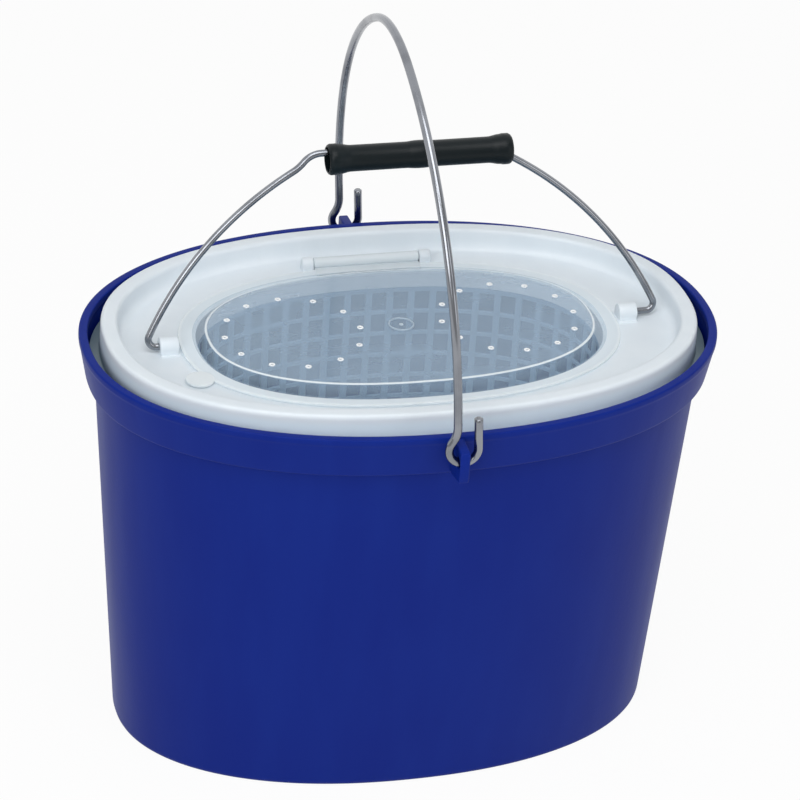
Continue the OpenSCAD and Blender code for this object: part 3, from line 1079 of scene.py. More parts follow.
class Pattern(Graph):
    """A Geometry Nodes tree with named inputs, whose result is kept as a plain mesh."""

    def __init__(self, name: str, sizes: dict[str, float | int]) -> None:
        """Starts a tree with a Geometry input and one input for each size.

        Args:
            name: The tree's name.
            sizes: The inputs' values by name, lengths in metres. A whole number makes an Integer.
        """
        tree = bpy.data.node_groups.new(name, "GeometryNodeTree")
        for way in ("INPUT", "OUTPUT"):
            tree.interface.new_socket("Geometry", in_out=way, socket_type="NodeSocketGeometry")
        for label, value in sizes.items():
            kind = "NodeSocketInt" if isinstance(value, int) else "NodeSocketFloat"
            tree.interface.new_socket(label, in_out="INPUT", socket_type=kind).default_value = value
        super().__init__(tree)
        self.sizes = sizes
        self.start = self.add("NodeGroupInput")

    def size(self, *names: str) -> Any:
        """One of the tree's inputs for use in expressions, or a list of several."""
        found = [self.number(self.start.outputs[name]) for name in names]
        return found if len(found) > 1 else found[0]

    def vector(self, x: Any = 0.0, y: Any = 0.0, z: Any = 0.0) -> NodeSocket:
        """A vector from three numbers."""
        return self.out("ShaderNodeCombineXYZ", {0: x, 1: y, 2: z})

    def place(self) -> list[Number]:
        """The x and y of each point."""
        split = self.add("ShaderNodeSeparateXYZ", {0: self.out("GeometryNodeInputPosition")})
        return [self.number(split.outputs[0]), self.number(split.outputs[1])]

    def join(self, *parts: NodeSocket) -> NodeSocket:
        """Several geometries as one.

        Args:
            parts: The geometries.

        Returns:
            The joined geometry.
        """
        node = self.add("GeometryNodeJoinGeometry")
        for part in parts:
            self.tree.links.new(part, node.inputs[0])
        return node.outputs[0]

    def shift(self, shape: NodeSocket, to: NodeSocket, scale: Sequence[float] = (1, 1, 1)) -> NodeSocket:
        """A geometry scaled and moved."""
        return self.out("GeometryNodeTransform", {"Geometry": shape, "Translation": to, "Scale": scale})

    def repeat(self, shape: NodeSocket, points: NodeSocket, **turns: NodeSocket) -> NodeSocket:
        """A copy of a geometry on each point, with a Rotation or a Scale."""
        return self.out("GeometryNodeInstanceOnPoints", {"Points": points, "Instance": shape, **turns})

    def mark(self, copies: NodeSocket) -> NodeSocket:
        """Marks copies, so that close can give them a material of their own."""
        inputs = {"Geometry": copies, "Name": "marked", "Value": True}
        return self.out("GeometryNodeStoreNamedAttribute", inputs, data_type="BOOLEAN", domain="INSTANCE")

    def oval(self, count: Any, a: Number, b: Number, power: Number) -> NodeSocket:
        """A closed curve along a superellipse.

        Args:
            count: Points round it.
            a: Half its length, in metres.
            b: Half its width.
            power: Its squareness.

        Returns:
            The curve.
        """
        circle = self.out("GeometryNodeMeshCircle", {"Vertices": count, "Radius": 1.0})
        x, y = self.place()
        share = 2 / power
        place = self.vector(x.sign() * abs(x) ** share * a, y.sign() * abs(y) ** share * b)
        bent = self.out("GeometryNodeSetPosition", {"Geometry": circle, "Position": place})
        return self.out("GeometryNodeMeshToCurve", {"Mesh": bent})

    def close(self, shape: NodeSocket, material: Material, marked: Material | None = None) -> Pattern:
        """Realizes the instances, sets the materials and ends the tree.

        Args:
            shape: The geometry.
            material: Its material.
            marked: The material of the marked copies, if there are any.

        Returns:
            The pattern itself.
        """
        done = self.out("GeometryNodeRealizeInstances", {0: shape})
        done = self.out("GeometryNodeSetMaterial", {"Geometry": done, "Material": material})
        if marked:
            chosen = self.out("GeometryNodeInputNamedAttribute", {"Name": "marked"}, data_type="BOOLEAN")
            done = self.out(
                "GeometryNodeSetMaterial", {"Geometry": done, "Selection": chosen, "Material": marked}
            )
        self.add("NodeGroupOutput", {0: done})
        return self

    def bake(self, piece: Object) -> Object:
        """Runs the tree on a piece and keeps the result as its mesh.

        Args:
            piece: The object whose mesh the tree starts from.

        Returns:
            The same object, with the new mesh and no modifier.
        """
        modifier = piece.modifiers.new(self.tree.name, "NODES")
        modifier.node_group = self.tree
        for item in self.tree.interface.items_tree:
            if item.item_type == "SOCKET" and item.in_out == "INPUT" and item.name in self.sizes:
                modifier[item.identifier] = self.sizes[item.name]
        return applied(piece)


# --------------------------------------------------------------------------
# The bucket
# --------------------------------------------------------------------------


@dataclass
class Bucket:
    """The blue bucket, its collar, rim and two ears."""

    rim: Oval = Oval(185.0, 127.0)
    foot: Oval = Oval(162.8, 98.0)
    power: float = 2.17
    rim_z: float = 252.4
    wall: float = 2.5
    collar_h: float = 25.4
    collar_flare: float = 4.1
    shoulder_w: float = 5.1
    lip_w: float = 5.2
    lip_h: float = 4.4
    foot_r: float = 4.0
    foot_land: float = 7.0
    foot_hollow: float = 2.5
    ear_t: float = 5.6
    ear_h: float = 19.5
    ear_fall: float = 2.2
    ear_corner: float = 2.0
    ear_land: float = 5.0
    ear_y: float = 137.0
    ear_hole_d: float = 6.49
    ear_hole_z: float = 242.25

    @property
    def shoulder_z(self) -> float:
        """Height of the shoulder under the collar."""
        return self.rim_z - self.collar_h

    def shell(self) -> Object:
        """Lofts the bucket from the hollow under its floor, over the rim, to the floor inside.

        Returns:
            The shell.
        """
        collar = self.rim.shrink(self.collar_flare)
        top = collar.shrink(self.shoulder_w)
        lip = self.rim.shrink(self.lip_w)
        inner_foot = self.foot.shrink(self.wall)
        floor_z = self.foot_hollow + self.wall
        ledge_z = self.shoulder_z + self.wall
        land = self.foot_r + self.foot_land
        rings = [
            Ring(self.foot.shrink(land + 8), self.foot_hollow),
            Ring(self.foot.shrink(land + 1.2), self.foot_hollow, 1.0),
            Ring(self.foot.shrink(land), 0.0, 1.0),
            Ring(self.foot.shrink(0.6), 0.0, self.foot_r),
            Ring(top, self.shoulder_z, 1.2),
            Ring(collar, self.shoulder_z, 2.0),
            Ring(self.rim.shrink(0.5), self.rim_z - self.lip_h - 0.3, 0.9),
            Ring(self.rim, self.rim_z - self.lip_h + 1.0, 0.7),
            Ring(self.rim, self.rim_z, 1.5),
            Ring(lip, self.rim_z, 1.5),
            Ring(lip, self.rim_z - self.lip_h, 0.8),
            Ring(self.rim.shrink(self.wall + 0.6), self.rim_z - self.lip_h - 2, 0.8),
            Ring(collar.shrink(self.wall), ledge_z, 1.4),
            Ring(top.shrink(self.wall), ledge_z, 1.2),
            Ring(inner_foot, floor_z, self.foot_r - self.wall),
            Ring(inner_foot.shrink(20), floor_z),
        ]
        return loft("bucket_vessel", rings, self.power, Closing.CAPS, sides=320, steps=6)

    def ear(self, front: bool) -> Object:
        """The gusset that one hook hangs from, with its hole.

        Args:
            front: True for the front ear, False for the rear one.

        Returns:
            The ear.
        """
        outer, lip_y = self.ear_y + self.ear_land, self.rim.b - self.lip_w / 2
        wall_y = self.rim.b - self.collar_flare - self.wall / 2
        low, high, corner = self.rim_z - self.ear_h, self.rim_z - self.ear_fall, self.ear_corner
        outline = [
            (lip_y, self.rim_z - self.lip_h), (lip_y, self.rim_z - 1.0), (outer - 1.0, high),
            (outer - 0.3, high - 0.4), (outer, high - 1.0), (outer, low),
            (outer - 0.3 * corner, low - 0.7 * corner), (outer - corner, low - corner),
            (wall_y, self.shoulder_z + 1.0),
        ]
        hole = arc((self.ear_y, self.ear_hole_z), self.ear_hole_d / 2, 0, 360, 40)[:-1]
        piece = plate("ear", [outline, hole], self.ear_t, 0.9)
        turn = Matrix(((0, 0, 1, 0), (1, 0, 0, 0), (0, 1, 0, 0), (0, 0, 0, 1)))
        moved(piece, turn)
        if front:
            moved(piece, Matrix.Scale(-1, 4, (0, 1, 0)))
        return piece

    def build(self, blue: Material) -> None:
        """Builds and dresses the bucket.

        Args:
            blue: The bucket's plastic.
        """
        dress(self.shell(), blue, Body.BUCKET, Slot.BUCKET, "bucket_shell")
        ears = joined("bucket_ears", [self.ear(True), self.ear(False)])
        dress(ears, blue, Body.BUCKET, Slot.BUCKET)


# --------------------------------------------------------------------------
# The wire bails and the grip
# --------------------------------------------------------------------------


@dataclass
class BucketBail:
    """The bucket's wire bail, which hangs by an open hook at each end."""

    wire_d: float = 4.8
    span: float = 274.0
    rise: float = 186.8
    crown_r: float = 85.0
    leg_straight: float = 10.0
    hook_r: float = 8.2
    leg_offset: float = 3.4
    kink_r: float = 16.0
    hook_tail: float = 18.7
    lean: float = 3.6
    axis_z: float = 250.2

    def half(self) -> list[Vector]:
        """The path of one half, from its free end to the crown's middle.

        Returns:
            Points about the turning axis, in millimetres.
        """
        y = self.span / 2
        kink_v = math.sqrt((self.hook_r + self.kink_r) ** 2 - (self.leg_offset + self.kink_r) ** 2)
        kink_turn = math.degrees(math.atan2(kink_v, self.leg_offset + self.kink_r))
        leg_top = kink_v + self.leg_straight
        crown_v = self.rise - self.crown_r
        side_v = self.rise - leg_top
        side_r = (y * y + side_v * side_v - 2 * self.crown_r * side_v) / (2 * (y - self.crown_r))
        side_turn = math.degrees(math.atan2(crown_v - leg_top, side_r - y))
        hook = [(self.hook_r, self.hook_tail)]
        hook += [(self.hook_r, self.hook_tail * k / 6) for k in range(5, 0, -1)]
        hook += arc((0, 0), self.hook_r, 360, 180 - kink_turn, 40)
        hook += arc((-self.leg_offset - self.kink_r, kink_v), self.kink_r, -kink_turn, 0, 12)
        path = [Vector((u, y, v)) for u, v in hook]
        arch = arc((y - side_r, leg_top), side_r, 0, side_turn, 60)
        arch += arc((0, crown_v), self.crown_r, side_turn, 90, 12)
        return path + [Vector((-self.leg_offset, u, v)) for u, v in arch]

    def build(self, steel: Material) -> None:
        """Builds and dresses the bail.

        Args:
            steel: The wire's metal.
        """
        half = self.half()
        path = half + [Vector((p.x, -p.y, p.z)) for p in reversed(half)]
        place = Matrix.Translation((0, 0, self.axis_z)) @ Matrix.Rotation(math.radians(-self.lean), 4, "Y")
        wire = moved(tube("bucket_bail_wire", path, self.wire_d, 24), place)
        dress(wire, steel, Body.BUCKET_BAIL, Slot.WIRE, "bucket_bail")


@dataclass
class LiftBail:
    """The insert's wire bail, whose ends turn in the deck's bosses, and its grip."""

    wire_d: float = 4.0
    rise: float = 105.5
    top: float = 48.0
    top_r: float = 14.0
    fall: float = 48.0
    back_r: float = 26.0
    arm_r: float = 206.0
    elbow_x: float = 145.0
    elbow_r: float = 4.5
    end_x: float = 134.6
    slack: float = 2.5
    lean: float = 13.9
    axis_z: float = 249.5
    grip_l: float = 107.2
    grip_d: float = 15.0
    grip_end_d: float = 17.8
    grip_mid_d: float = 16.0
    grip_mid_l: float = 14.0
    bore_d: float = 12.4
    grip_x: float = 8.8
    rest_gap: float = 0.3

    @property
    def place(self) -> Matrix:
        """From the bail's own plane to where it stands."""
        lean = Matrix.Rotation(math.radians(-self.lean), 4, "X")
        return Matrix.Translation((self.slack, 0, self.axis_z)) @ lean

    def half(self) -> list[Point]:
        """The path of the right half, from its end in the boss to the top's middle.

        Returns:
            Places along the deck and heights above the axis.
        """
        elbow, top = (self.elbow_x, self.elbow_r), (self.top, self.rise - self.top_r)
        end = 90 - self.fall
        out = self.top_r + self.back_r
        back = (top[0] + out * math.cos(math.radians(end)), top[1] + out * math.sin(math.radians(end)))
        reach_back, reach_elbow = self.arm_r + self.back_r, self.arm_r - self.elbow_r
        run = math.dist(back, elbow)
        along = (reach_back**2 - reach_elbow**2 + run * run) / (2 * run)
        across = math.sqrt(reach_back**2 - along**2)
        way = ((elbow[0] - back[0]) / run, (elbow[1] - back[1]) / run)
        middle = (back[0] + way[0] * along + way[1] * across, back[1] + way[1] * along - way[0] * across)
        low = math.degrees(math.atan2(elbow[1] - middle[1], elbow[0] - middle[0]))
        high = math.degrees(math.atan2(back[1] - middle[1], back[0] - middle[0]))
        path = [(self.end_x, 0.0), (self.end_x + 4, 0.0), (self.end_x + 8, 0.0)]
        path += arc(elbow, self.elbow_r, -90, low, 18)
        path += arc(middle, self.arm_r, low, high, 60)
        path += arc(back, self.back_r, 180 + high, 180 + end, 12)
        path += arc(top, self.top_r, end, 90, 14)
        return path + [(self.top * k / 4, self.rise) for k in range(3, -1, -1)]

    def sleeve(self) -> Object:
        """Turns the grip: flared ends, a waist and a low swelling at the middle.

        Returns:
            The grip, along the straight of its wire.
        """
        half, waist, end = self.grip_l / 2, self.grip_d / 2, self.grip_end_d / 2
        wall = (self.grip_d - self.bore_d) / 2
        mouth = end - wall - 0.5
        right = [(half, mouth + 0.5), (half, end - 1.6), (half - 0.5, end - 0.6), (half - 1.6, end)]
        right += [(half - 5, end), (half - 6.5, end - 0.35)]
        for k in range(1, 7):
            share = k / 7
            bend = 0.5 - 0.5 * math.cos(math.pi * share)
            right.append((half - 6.5 - 7.5 * share, end - 0.35 - (end - 0.35 - waist) * bend))
        reach, rise = self.grip_mid_l / 2, self.grip_mid_d / 2 - waist
        plain = [(reach + 5, waist), (reach + 1, waist)]
        outside = right + plain
        for k in range(17):
            turn = math.radians(10 + 10 * k)
            outside.append((reach * math.cos(turn), waist + rise * math.sin(turn) ** 2))
        outside += [(-x, r) for x, r in reversed(right + plain)]
        inside = [(-half + 0.4, mouth), (-half + 5, mouth), (-half + 12, self.bore_d / 2)]
        inside += [(-x, r) for x, r in reversed(inside)]
        sleeve = lathe("grip_sleeve", outside + inside, 96, loop=True)
        height = self.rise - self.bore_d / 2 + self.wire_d / 2 + self.rest_gap
        return moved(sleeve, self.place @ Matrix.Translation((self.grip_x, 0, height)))

    def build(self, steel: Material, black: Material) -> None:
        """Builds and dresses the bail and its grip.

        Args:
            steel: The wire's metal.
            black: The grip's plastic.
        """
        half = self.half()
        path = [Vector((u, 0, v)) for u, v in half] + [Vector((-u, 0, v)) for u, v in reversed(half)]
        wire = moved(tube("lift_bail_wire", path, self.wire_d, 20), self.place)
        dress(wire, steel, Body.LIFT_BAIL, Slot.WIRE, "insert_bail")
        dress(self.sleeve(), black, Body.GRIP, Slot.GRIP, "grip")


# --------------------------------------------------------------------------
# The insert: deck, basket and lid
# --------------------------------------------------------------------------


@dataclass
class Deck:
    """The white deck: rim, tray, opening, skirt, bail bosses and hinge lugs."""

    rim: Oval = Oval(172.4, 111.0)
    power: float = 2.29
    collar_power: float = 2.17
    top_z: float = 258.9
    rim_w: float = 9.6
    rim_r: float = 3.2
    tray_z: float = 246.0
    tray_r: float = 10.0
    tray_ease: float = 6.5
    wall: float = 2.2
    flange: Oval = Oval(178.95, 120.95)
    flange_foot: Oval = Oval(176.8, 118.8)
    flange_z: float = 240.3
    foot_z: float = 229.8
    opening: Oval = Oval(119.7, 74.5)
    opening_draft: float = 2.8
    opening_foot_z: float = 236.6
    boss_d: float = 11.0
    boss_l: float = 11.0
    boss_end_x: float = 141.0
    axis_z: float = 249.5
    bore_d: float = 4.16
    hinge_y: float = 84.5
    hinge_z: float = 249.8
    lug_x: float = 32.3
    lug_w: float = 7.0
    lug_d: float = 7.8

    def moulding(self) -> Object:
        """Lofts the deck's closed section.

        Returns:
            The deck without its bosses and lugs.
        """
        inner = self.rim.shrink(self.rim_w)
        mouth = self.opening.shrink(self.opening_draft)
        under, skirt = self.tray_z - self.wall, self.flange_z - self.wall
        rings = [
            Ring(self.flange_foot, self.foot_z, 0.5, self.collar_power),
            Ring(self.flange, self.flange_z, 1.0, self.collar_power),
            Ring(self.rim.grow(0.4), self.flange_z, 1.2),
            Ring(self.rim, self.top_z, self.rim_r),
            Ring(inner, self.top_z, self.rim_r),
            Ring(inner.shrink(0.8), self.tray_z, self.tray_ease),
            Ring(self.opening, self.tray_z, 1.3),
            Ring(mouth, self.opening_foot_z, 0.5),
            Ring(mouth.grow(self.wall), self.opening_foot_z, 0.5),
            Ring(self.opening.grow(self.wall - 0.6), under, 1.0),
            Ring(inner.grow(self.wall - 0.8), under, self.tray_r),
            Ring(inner.grow(self.wall), self.top_z - self.wall, 1.5),
            Ring(self.rim.shrink(self.wall), self.top_z - self.wall, 1.5),
            Ring(self.rim.shrink(self.wall), skirt, 0.8),
            Ring(self.flange.shrink(self.wall), skirt, 0.8, self.collar_power),
            Ring(self.flange_foot.shrink(self.wall), self.foot_z, 0.5, self.collar_power),
        ]
        return loft("deck_moulding", rings, self.power, Closing.LOOP, sides=288, steps=6)

    def boss(self, side: int) -> list[Object]:
        """One of the two bosses that hold the bail's ends, on its pad.

        Args:
            side: 1 for the right boss, -1 for the left one.

        Returns:
            The boss's parts.
        """
        radius, bore = self.boss_d / 2, self.bore_d / 2
        x1, x0 = self.boss_end_x, self.boss_end_x - self.boss_l
        root, blind = self.tray_z - 1.1, x0 + 1.4
        profile = [
            (x0, 0.0), (x0, radius - 1.2), (x0 + 0.35, radius - 0.35), (x0 + 1.2, radius),
            (x1 - 0.8, radius), (x1 - 0.2, radius - 0.2), (x1, radius - 0.8), (x1, bore + 0.4),
            (x1 - 0.3, bore), (blind, bore), (blind, 0.0),
        ]
        drill = [(blind, 0.0), (blind, bore), (x1 + 2, bore), (x1 + 2, 0.0)]
        lift = Matrix.Translation((0, 0, self.axis_z))
        pad = block("boss_pad", (x0 + 0.2, -radius, root), (x1 - 0.2, radius, self.axis_z - 0.6), 0.8)
        sole = radius + 1.4
        foot = block("boss_foot", (x0 - 0.8, -sole, root), (x1 - 0.1, sole, self.tray_z + 0.7), 0.6)
        parts = [moved(lathe("boss", profile, 48), lift), pad, foot]
        cut(pad, moved(lathe("bore", drill, 32), lift))
        return mirrored(parts) if side < 0 else parts

    def lug(self, side: int) -> list[Object]:
        """One of the two lugs that the lid's pins turn in.

        Args:
            side: 1 for the right lug, -1 for the left one.

        Returns:
            The lug's parts.
        """
        x0, x1, radius = self.lug_x, self.lug_x + self.lug_w, self.lug_d / 2
        profile = [
            (x0, 0.0), (x0, radius - 0.6), (x0 + 0.6, radius), (x1 - 1.2, radius), (x1 - 0.3, radius - 0.6),
            (x1, radius - 1.6), (x1, 0.0),
        ]
        turned = moved(lathe("lug", profile, 40), Matrix.Translation((0, self.hinge_y, self.hinge_z)))
        low = (x0, self.hinge_y - radius, self.tray_z - 1.1)
        high = (x1 - 0.2, self.hinge_y + radius, self.hinge_z - 0.4)
        parts = [turned, block("lug_pad", low, high, 0.6)]
        return mirrored(parts) if side < 0 else parts

    def build(self, white: Material) -> None:
        """Builds and dresses the deck.

        Args:
            white: The deck's plastic.
        """
        dress(self.moulding(), white, Body.INSERT, Slot.DECK, "deck_ring")
        fittings = self.boss(1) + self.boss(-1) + self.lug(1) + self.lug(-1)
        dress(joined("deck_fittings", fittings), white, Body.INSERT, Slot.DECK)


@dataclass
class Basket:
    """The sieve basket: a wall of upright and level bars, a slotted floor and a hanging rim."""

    edge: Oval = Oval(118.9, 73.7)
    mouth: Oval = Oval(116.9, 71.7)
    power: float = 2.3
    wall: float = 2.0
    bars: int = 48
    rows: int = 7
    pitch: float = 14.5
    upright_w: float = 4.0
    level_w: float = 2.4
    top_z: float = 236.3
    floor_z: float = 131.8
    floor_t: float = 2.4
    floor_pitch: float = 16.0
    floor_bars: int = 15
    hanger_in: float = 5.3
    hanger_h: float = 5.0
    foot_h: float = 3.4
    foot_w: float = 6.0
    bar_ease: float = 0.25
    level_share: float = 0.86
    sides: int = 192

    def sizes(self, oval: Oval, thickness: float, foot: float, **more: float | int) -> dict[str, float | int]:
        """A tree's inputs: those that both trees have, in metres, and more.

        Args:
            oval: The oval that the bars follow or end on, in millimetres.
            thickness: The bars' thickness.
            foot: The height that the tree starts at.
            more: The other inputs' values in millimetres, or counts as whole numbers.

        Returns:
            The values by name.
        """
        shared = {
            "half_length": oval.a, "half_width": oval.b, "bar_width": self.upright_w, "thickness": thickness,
            "foot": foot, **more,
        }
        named = {key: value if isinstance(value, int) else value * MM for key, value in shared.items()}
        return {"squareness": self.power, **named}

    def wall_pattern(self, plastic: Material) -> Pattern:
        """Sets upright bars round an oval and stacks level bars on it.

        Args:
            plastic: The basket's plastic.

        Returns:
            The pattern.
        """
        net = Pattern(
            "sieve_wall",
            self.sizes(
                self.edge.shrink(self.wall / 2), self.wall, self.floor_z, pitch=self.pitch, bars=self.bars,
                levels=self.rows + 1, level_height=self.level_w, height=self.top_z - self.floor_z,
            ),
        )
        width, thickness, foot, level, height = net.size(
            "bar_width", "thickness", "foot", "level_height", "height"
        )
        oval = net.oval(self.sides, *net.size("half_length", "half_width", "squareness"))
        spots = {"Curve": oval, "Count": net.size("bars")}
        spread = net.add("GeometryNodeCurveToPoints", spots, mode="COUNT")
        along = {"Vector": spread.outputs["Tangent"]}
        turn = net.out("FunctionNodeAlignRotationToVector", along, axis="X", pivot_axis="Z")
        bar = net.out("GeometryNodeMeshCube", {"Size": net.vector(width, thickness, height)})
        stood = net.repeat(bar, spread.outputs[0], Rotation=turn)
        raised = net.shift(stood, net.vector(z=foot + height * 0.5))
        upright = net.out("GeometryNodeSetCurveNormal", {0: oval}, mode="Z_UP")
        section = {"Width": thickness * self.level_share, "Height": level}
        strip = net.out("GeometryNodeCurvePrimitiveQuadrilateral", section)
        hoop = net.out("GeometryNodeCurveToMesh", {"Curve": upright, "Profile Curve": strip})
        ladder = net.out(
            "GeometryNodeMeshLine",
            {
                "Count": net.size("levels"),
                "Start Location": net.vector(z=foot + level * 0.5),
                "Offset": net.vector(z=net.size("pitch")),
            },
        )
        return net.close(net.join(raised, net.repeat(hoop, ladder)), plastic)

    def floor_pattern(self, plastic: Material) -> Pattern:
        """Lays floor bars across the basket, each as long as the oval is wide there.

        Args:
            plastic: The basket's plastic.

        Returns:
            The pattern.
        """
        net = Pattern(
            "sieve_floor",
            self.sizes(
                Oval(self.mouth.a - 1, self.mouth.b - 0.5), self.floor_t, self.floor_z + self.floor_t / 2,
                pitch=self.floor_pitch, bars=self.floor_bars,
            ),
        )
        count, pitch, power = net.size("bars", "pitch", "squareness")
        row = net.out(
            "GeometryNodeMeshLine",
            {
                "Count": count,
                "Start Location": net.vector((count - 1) * pitch * -0.5, 0.0, net.size("foot")),
                "Offset": net.vector(pitch),
            },
        )
        share = abs(net.place()[0]) / net.size("half_length")
        reach = (1 - share**power) ** (1 / power)
        section = net.vector(net.size("bar_width"), 2.0, net.size("thickness"))
        bar = net.out("GeometryNodeMeshCube", {"Size": section})
        laid = net.repeat(bar, row, Scale=net.vector(1.0, reach * net.size("half_width"), 1.0))
        return net.close(laid, plastic)

    def rims(self) -> list[Object]:
        """Lofts the rim that the basket hangs by and the band round its floor.

        Returns:
            The rim and the band.
        """
        hanger, inside = self.mouth.grow(self.hanger_in), self.edge.shrink(self.wall)
        outside, band = hanger.grow(self.wall), inside.shrink(self.foot_w)
        top, below = self.top_z + self.hanger_h, self.top_z - self.level_w
        foot_top = self.floor_z + self.foot_h
        rim = [
            Ring(inside, below, 0.4), Ring(inside, self.top_z, 0.4), Ring(hanger, self.top_z, 0.4),
            Ring(hanger, top, 0.4), Ring(outside, top, 0.4), Ring(outside, below, 0.8),
        ]
        foot = [
            Ring(self.edge, self.floor_z, 0.7), Ring(self.edge, foot_top, 0.4), Ring(inside, foot_top, 0.4),
            Ring(band, self.floor_z + self.floor_t, 0.5), Ring(band, self.floor_z, 0.4),
        ]
        named = (("basket_rim", rim), ("basket_foot", foot))
        return [loft(name, rings, self.power, Closing.LOOP, self.sides, steps=3) for name, rings in named]

    def build(self, plastic: Material) -> None:
        """Builds and dresses the basket.

        Args:
            plastic: The basket's plastic.
        """
        patterns = (self.wall_pattern(plastic), self.floor_pattern(plastic))
        starts = [linked(net.tree.name, bpy.data.meshes.new("net")) for net in patterns]
        nets = [ease_edges(net.bake(start), self.bar_ease) for net, start in zip(patterns, starts)]
        reach, width, low = self.edge.a - self.wall - 3, self.level_w / 2, self.floor_z + 0.1
        spine = block("basket_spine", (-reach, -width, low), (reach, width, low + self.floor_t - 0.2), 0.3)
        whole = joined("basket_moulding", nets + self.rims() + [spine])
        dress(whole, plastic, Body.INSERT, Slot.BASKET, "sieve_basket")


@dataclass
class VentLid:
    """The see-through lid: flange, low dome with vents, thumb tab and hinge barrel."""

    opening: Oval = Oval(119.7, 74.5)
    power: float = 2.3
    wall: float = 1.6
    lap: float = 8.6
    side_lap: float = 6.8
    dome_h: float = 4.4
    dome_in: Oval = Oval(6.0, 8.4)
    lid_z: float = 246.3
    vent_d: float = 3.0
    vents: int = 12
    circle_r: float = 39.5
    circle_x: float = 63.7
    gate_d: float = 14.0
    gate_bead: float = 0.6
    tab: Point = (-124.5, -36.0)
    tab_d: float = 16.4
    hinge_y: float = 84.5
    hinge_z: float = 249.8
    barrel_l: float = 64.0
    barrel_d: float = 6.4
    pin_d: float = 3.0
    pin_reach: float = 5.6
    leaf_from: float = 74.5
    lip_path: float = 0.86
    lip_bead: float = 0.42
    lip_sink: float = 0.12
    lip_flat: float = 0.8

    @property
    def dome_z(self) -> float:
        """Height of the dome's top."""
        return self.lid_z + self.wall + self.dome_h

    def panel(self) -> Object:
        """Lofts the lid's flange and dome.

        Returns:
            The lid before its vents are pierced.
        """
        foot = self.opening.shrink(self.wall / 2)
        top = foot.shrink(self.dome_in.a, self.dome_in.b)
        edge = self.opening.grow(self.lap, self.side_lap)
        upper, under = self.lid_z + self.wall, self.dome_z - self.wall
        rings = [
            Ring(top.shrink(9), under),
            Ring(top.shrink(self.wall), under, 1.0),
            Ring(foot.shrink(self.wall), self.lid_z, 0.8, thick_and_highlight=-0.4),
            Ring(foot.shrink(self.wall - 1.2), self.lid_z, thick_and_highlight=0.8),
            Ring(edge, self.lid_z, 0.5, thick_and_highlight=1.0),
            Ring(edge, upper, 0.5, thick_and_highlight=1.0),
            Ring(edge.shrink(2.0), upper, thick_and_highlight=0.8),
            Ring(foot.grow(1.4), upper, thick_and_highlight=0.8),
            Ring(foot.grow(0.8), upper, 0.6, thick_and_highlight=-0.2),
            Ring(foot.shrink(0.4), upper + 0.5, thick_and_highlight=-0.5),
            Ring(top.grow(0.7, 0.9), self.dome_z - 0.6, thick_and_highlight=-0.5),
            # A painted highlight: the dome's rounded top edge gets the frosted plastic's whitest, most opaque
            # tone, partly for the plastic seen edge-on and partly standing in for the edge's bright
            # highlight.
            Ring(top, self.dome_z, 0.9, thick_and_highlight=1.0),
            Ring(top.shrink(1.1), self.dome_z),
            Ring(top.shrink(9), self.dome_z),
        ]
        return loft("lid_panel", rings, self.power, Closing.CAPS, sides=256, steps=5)

    def vent_pattern(self, frosted: Material, edge: Material) -> Pattern:
        """Pierces two circles of vents and sets a raised lip in each.

        Args:
            frosted: The lid's plastic.
            edge: The near-white material of the vents' lips.

        Returns:
            The pattern.
        """
        net = Pattern(
            "vent_circles",
            {
                "vents": self.vents, "circle_radius": self.circle_r * MM, "circle_place": self.circle_x * MM,
                "vent_radius": self.vent_d / 2 * MM, "top": self.dome_z * MM, "thickness": self.wall * MM,
            },
        )
        radius, thickness, place, top = net.size("vent_radius", "thickness", "circle_place", "top")
        size = {"Vertices": net.size("vents"), "Radius": net.size("circle_radius")}
        circle = net.out("GeometryNodeMeshCircle", size)
        places = net.join(*(net.shift(circle, net.vector(place * side, 0.0, top)) for side in (-1, 1)))
        size = {"Vertices": 16, "Radius": radius, "Depth": thickness * 4}
        drill = net.out("GeometryNodeMeshCylinder", size)
        drills = net.out("GeometryNodeRealizeInstances", {0: net.repeat(drill, places)})
        pierced = net.out(
            "GeometryNodeMeshBoolean", {0: net.start.outputs["Geometry"], 1: drills},
            operation="DIFFERENCE", solver="EXACT",
        )
        path, bead = (
            net.out("GeometryNodeCurvePrimitiveCircle", {"Resolution": sides, "Radius": radius * share})
            for sides, share in ((16, self.lip_path), (8, self.lip_bead))
        )
        lip = net.out("GeometryNodeCurveToMesh", {"Curve": path, "Profile Curve": bead})
        low = net.shift(lip, net.vector(z=thickness * -self.lip_sink), (1.0, 1.0, self.lip_flat))
        return net.close(net.join(pierced, net.mark(net.repeat(low, places))), frosted, edge)

    def barrel(self) -> Object:
        """Turns the hinge barrel with a pin at each end.

        Returns:
            The barrel.
        """
        half, radius, pin = self.barrel_l / 2, self.barrel_d / 2, self.pin_d / 2
        tip = half + self.pin_reach
        right = [
            (half - 0.5, radius), (half, radius - 0.5), (half, pin),
            (tip - 0.3, pin), (tip, pin - 0.3), (tip, 0.0),
        ]
        profile = [(-x, r) for x, r in reversed(right)] + right
        return moved(lathe("barrel", profile, 40), Matrix.Translation((0, self.hinge_y, self.hinge_z)))

    def gate(self) -> list[Object]:
        """Turns the moulded ring in the middle of the dome, and the nib in it.

        Returns:
            The ring and the nib.
        """
        upright = Matrix.Rotation(math.radians(-90), 4, "Y")
        bead = arc((0, self.gate_d / 2), self.gate_bead, 90, -270, 12)[:-1]
        ring = lathe("gate_ring", bead, 64, loop=True)
        nib = lathe("gate_nib", [(0.0, 0.0), (0.0, 1.3), (0.5, 1.2), (0.8, 0.7), (0.85, 0.0)], 24)
        return [
            moved(part, Matrix.Translation((0, 0, self.dome_z + up)) @ upright)
            for part, up in ((ring, 0.05), (nib, -0.3))
        ]

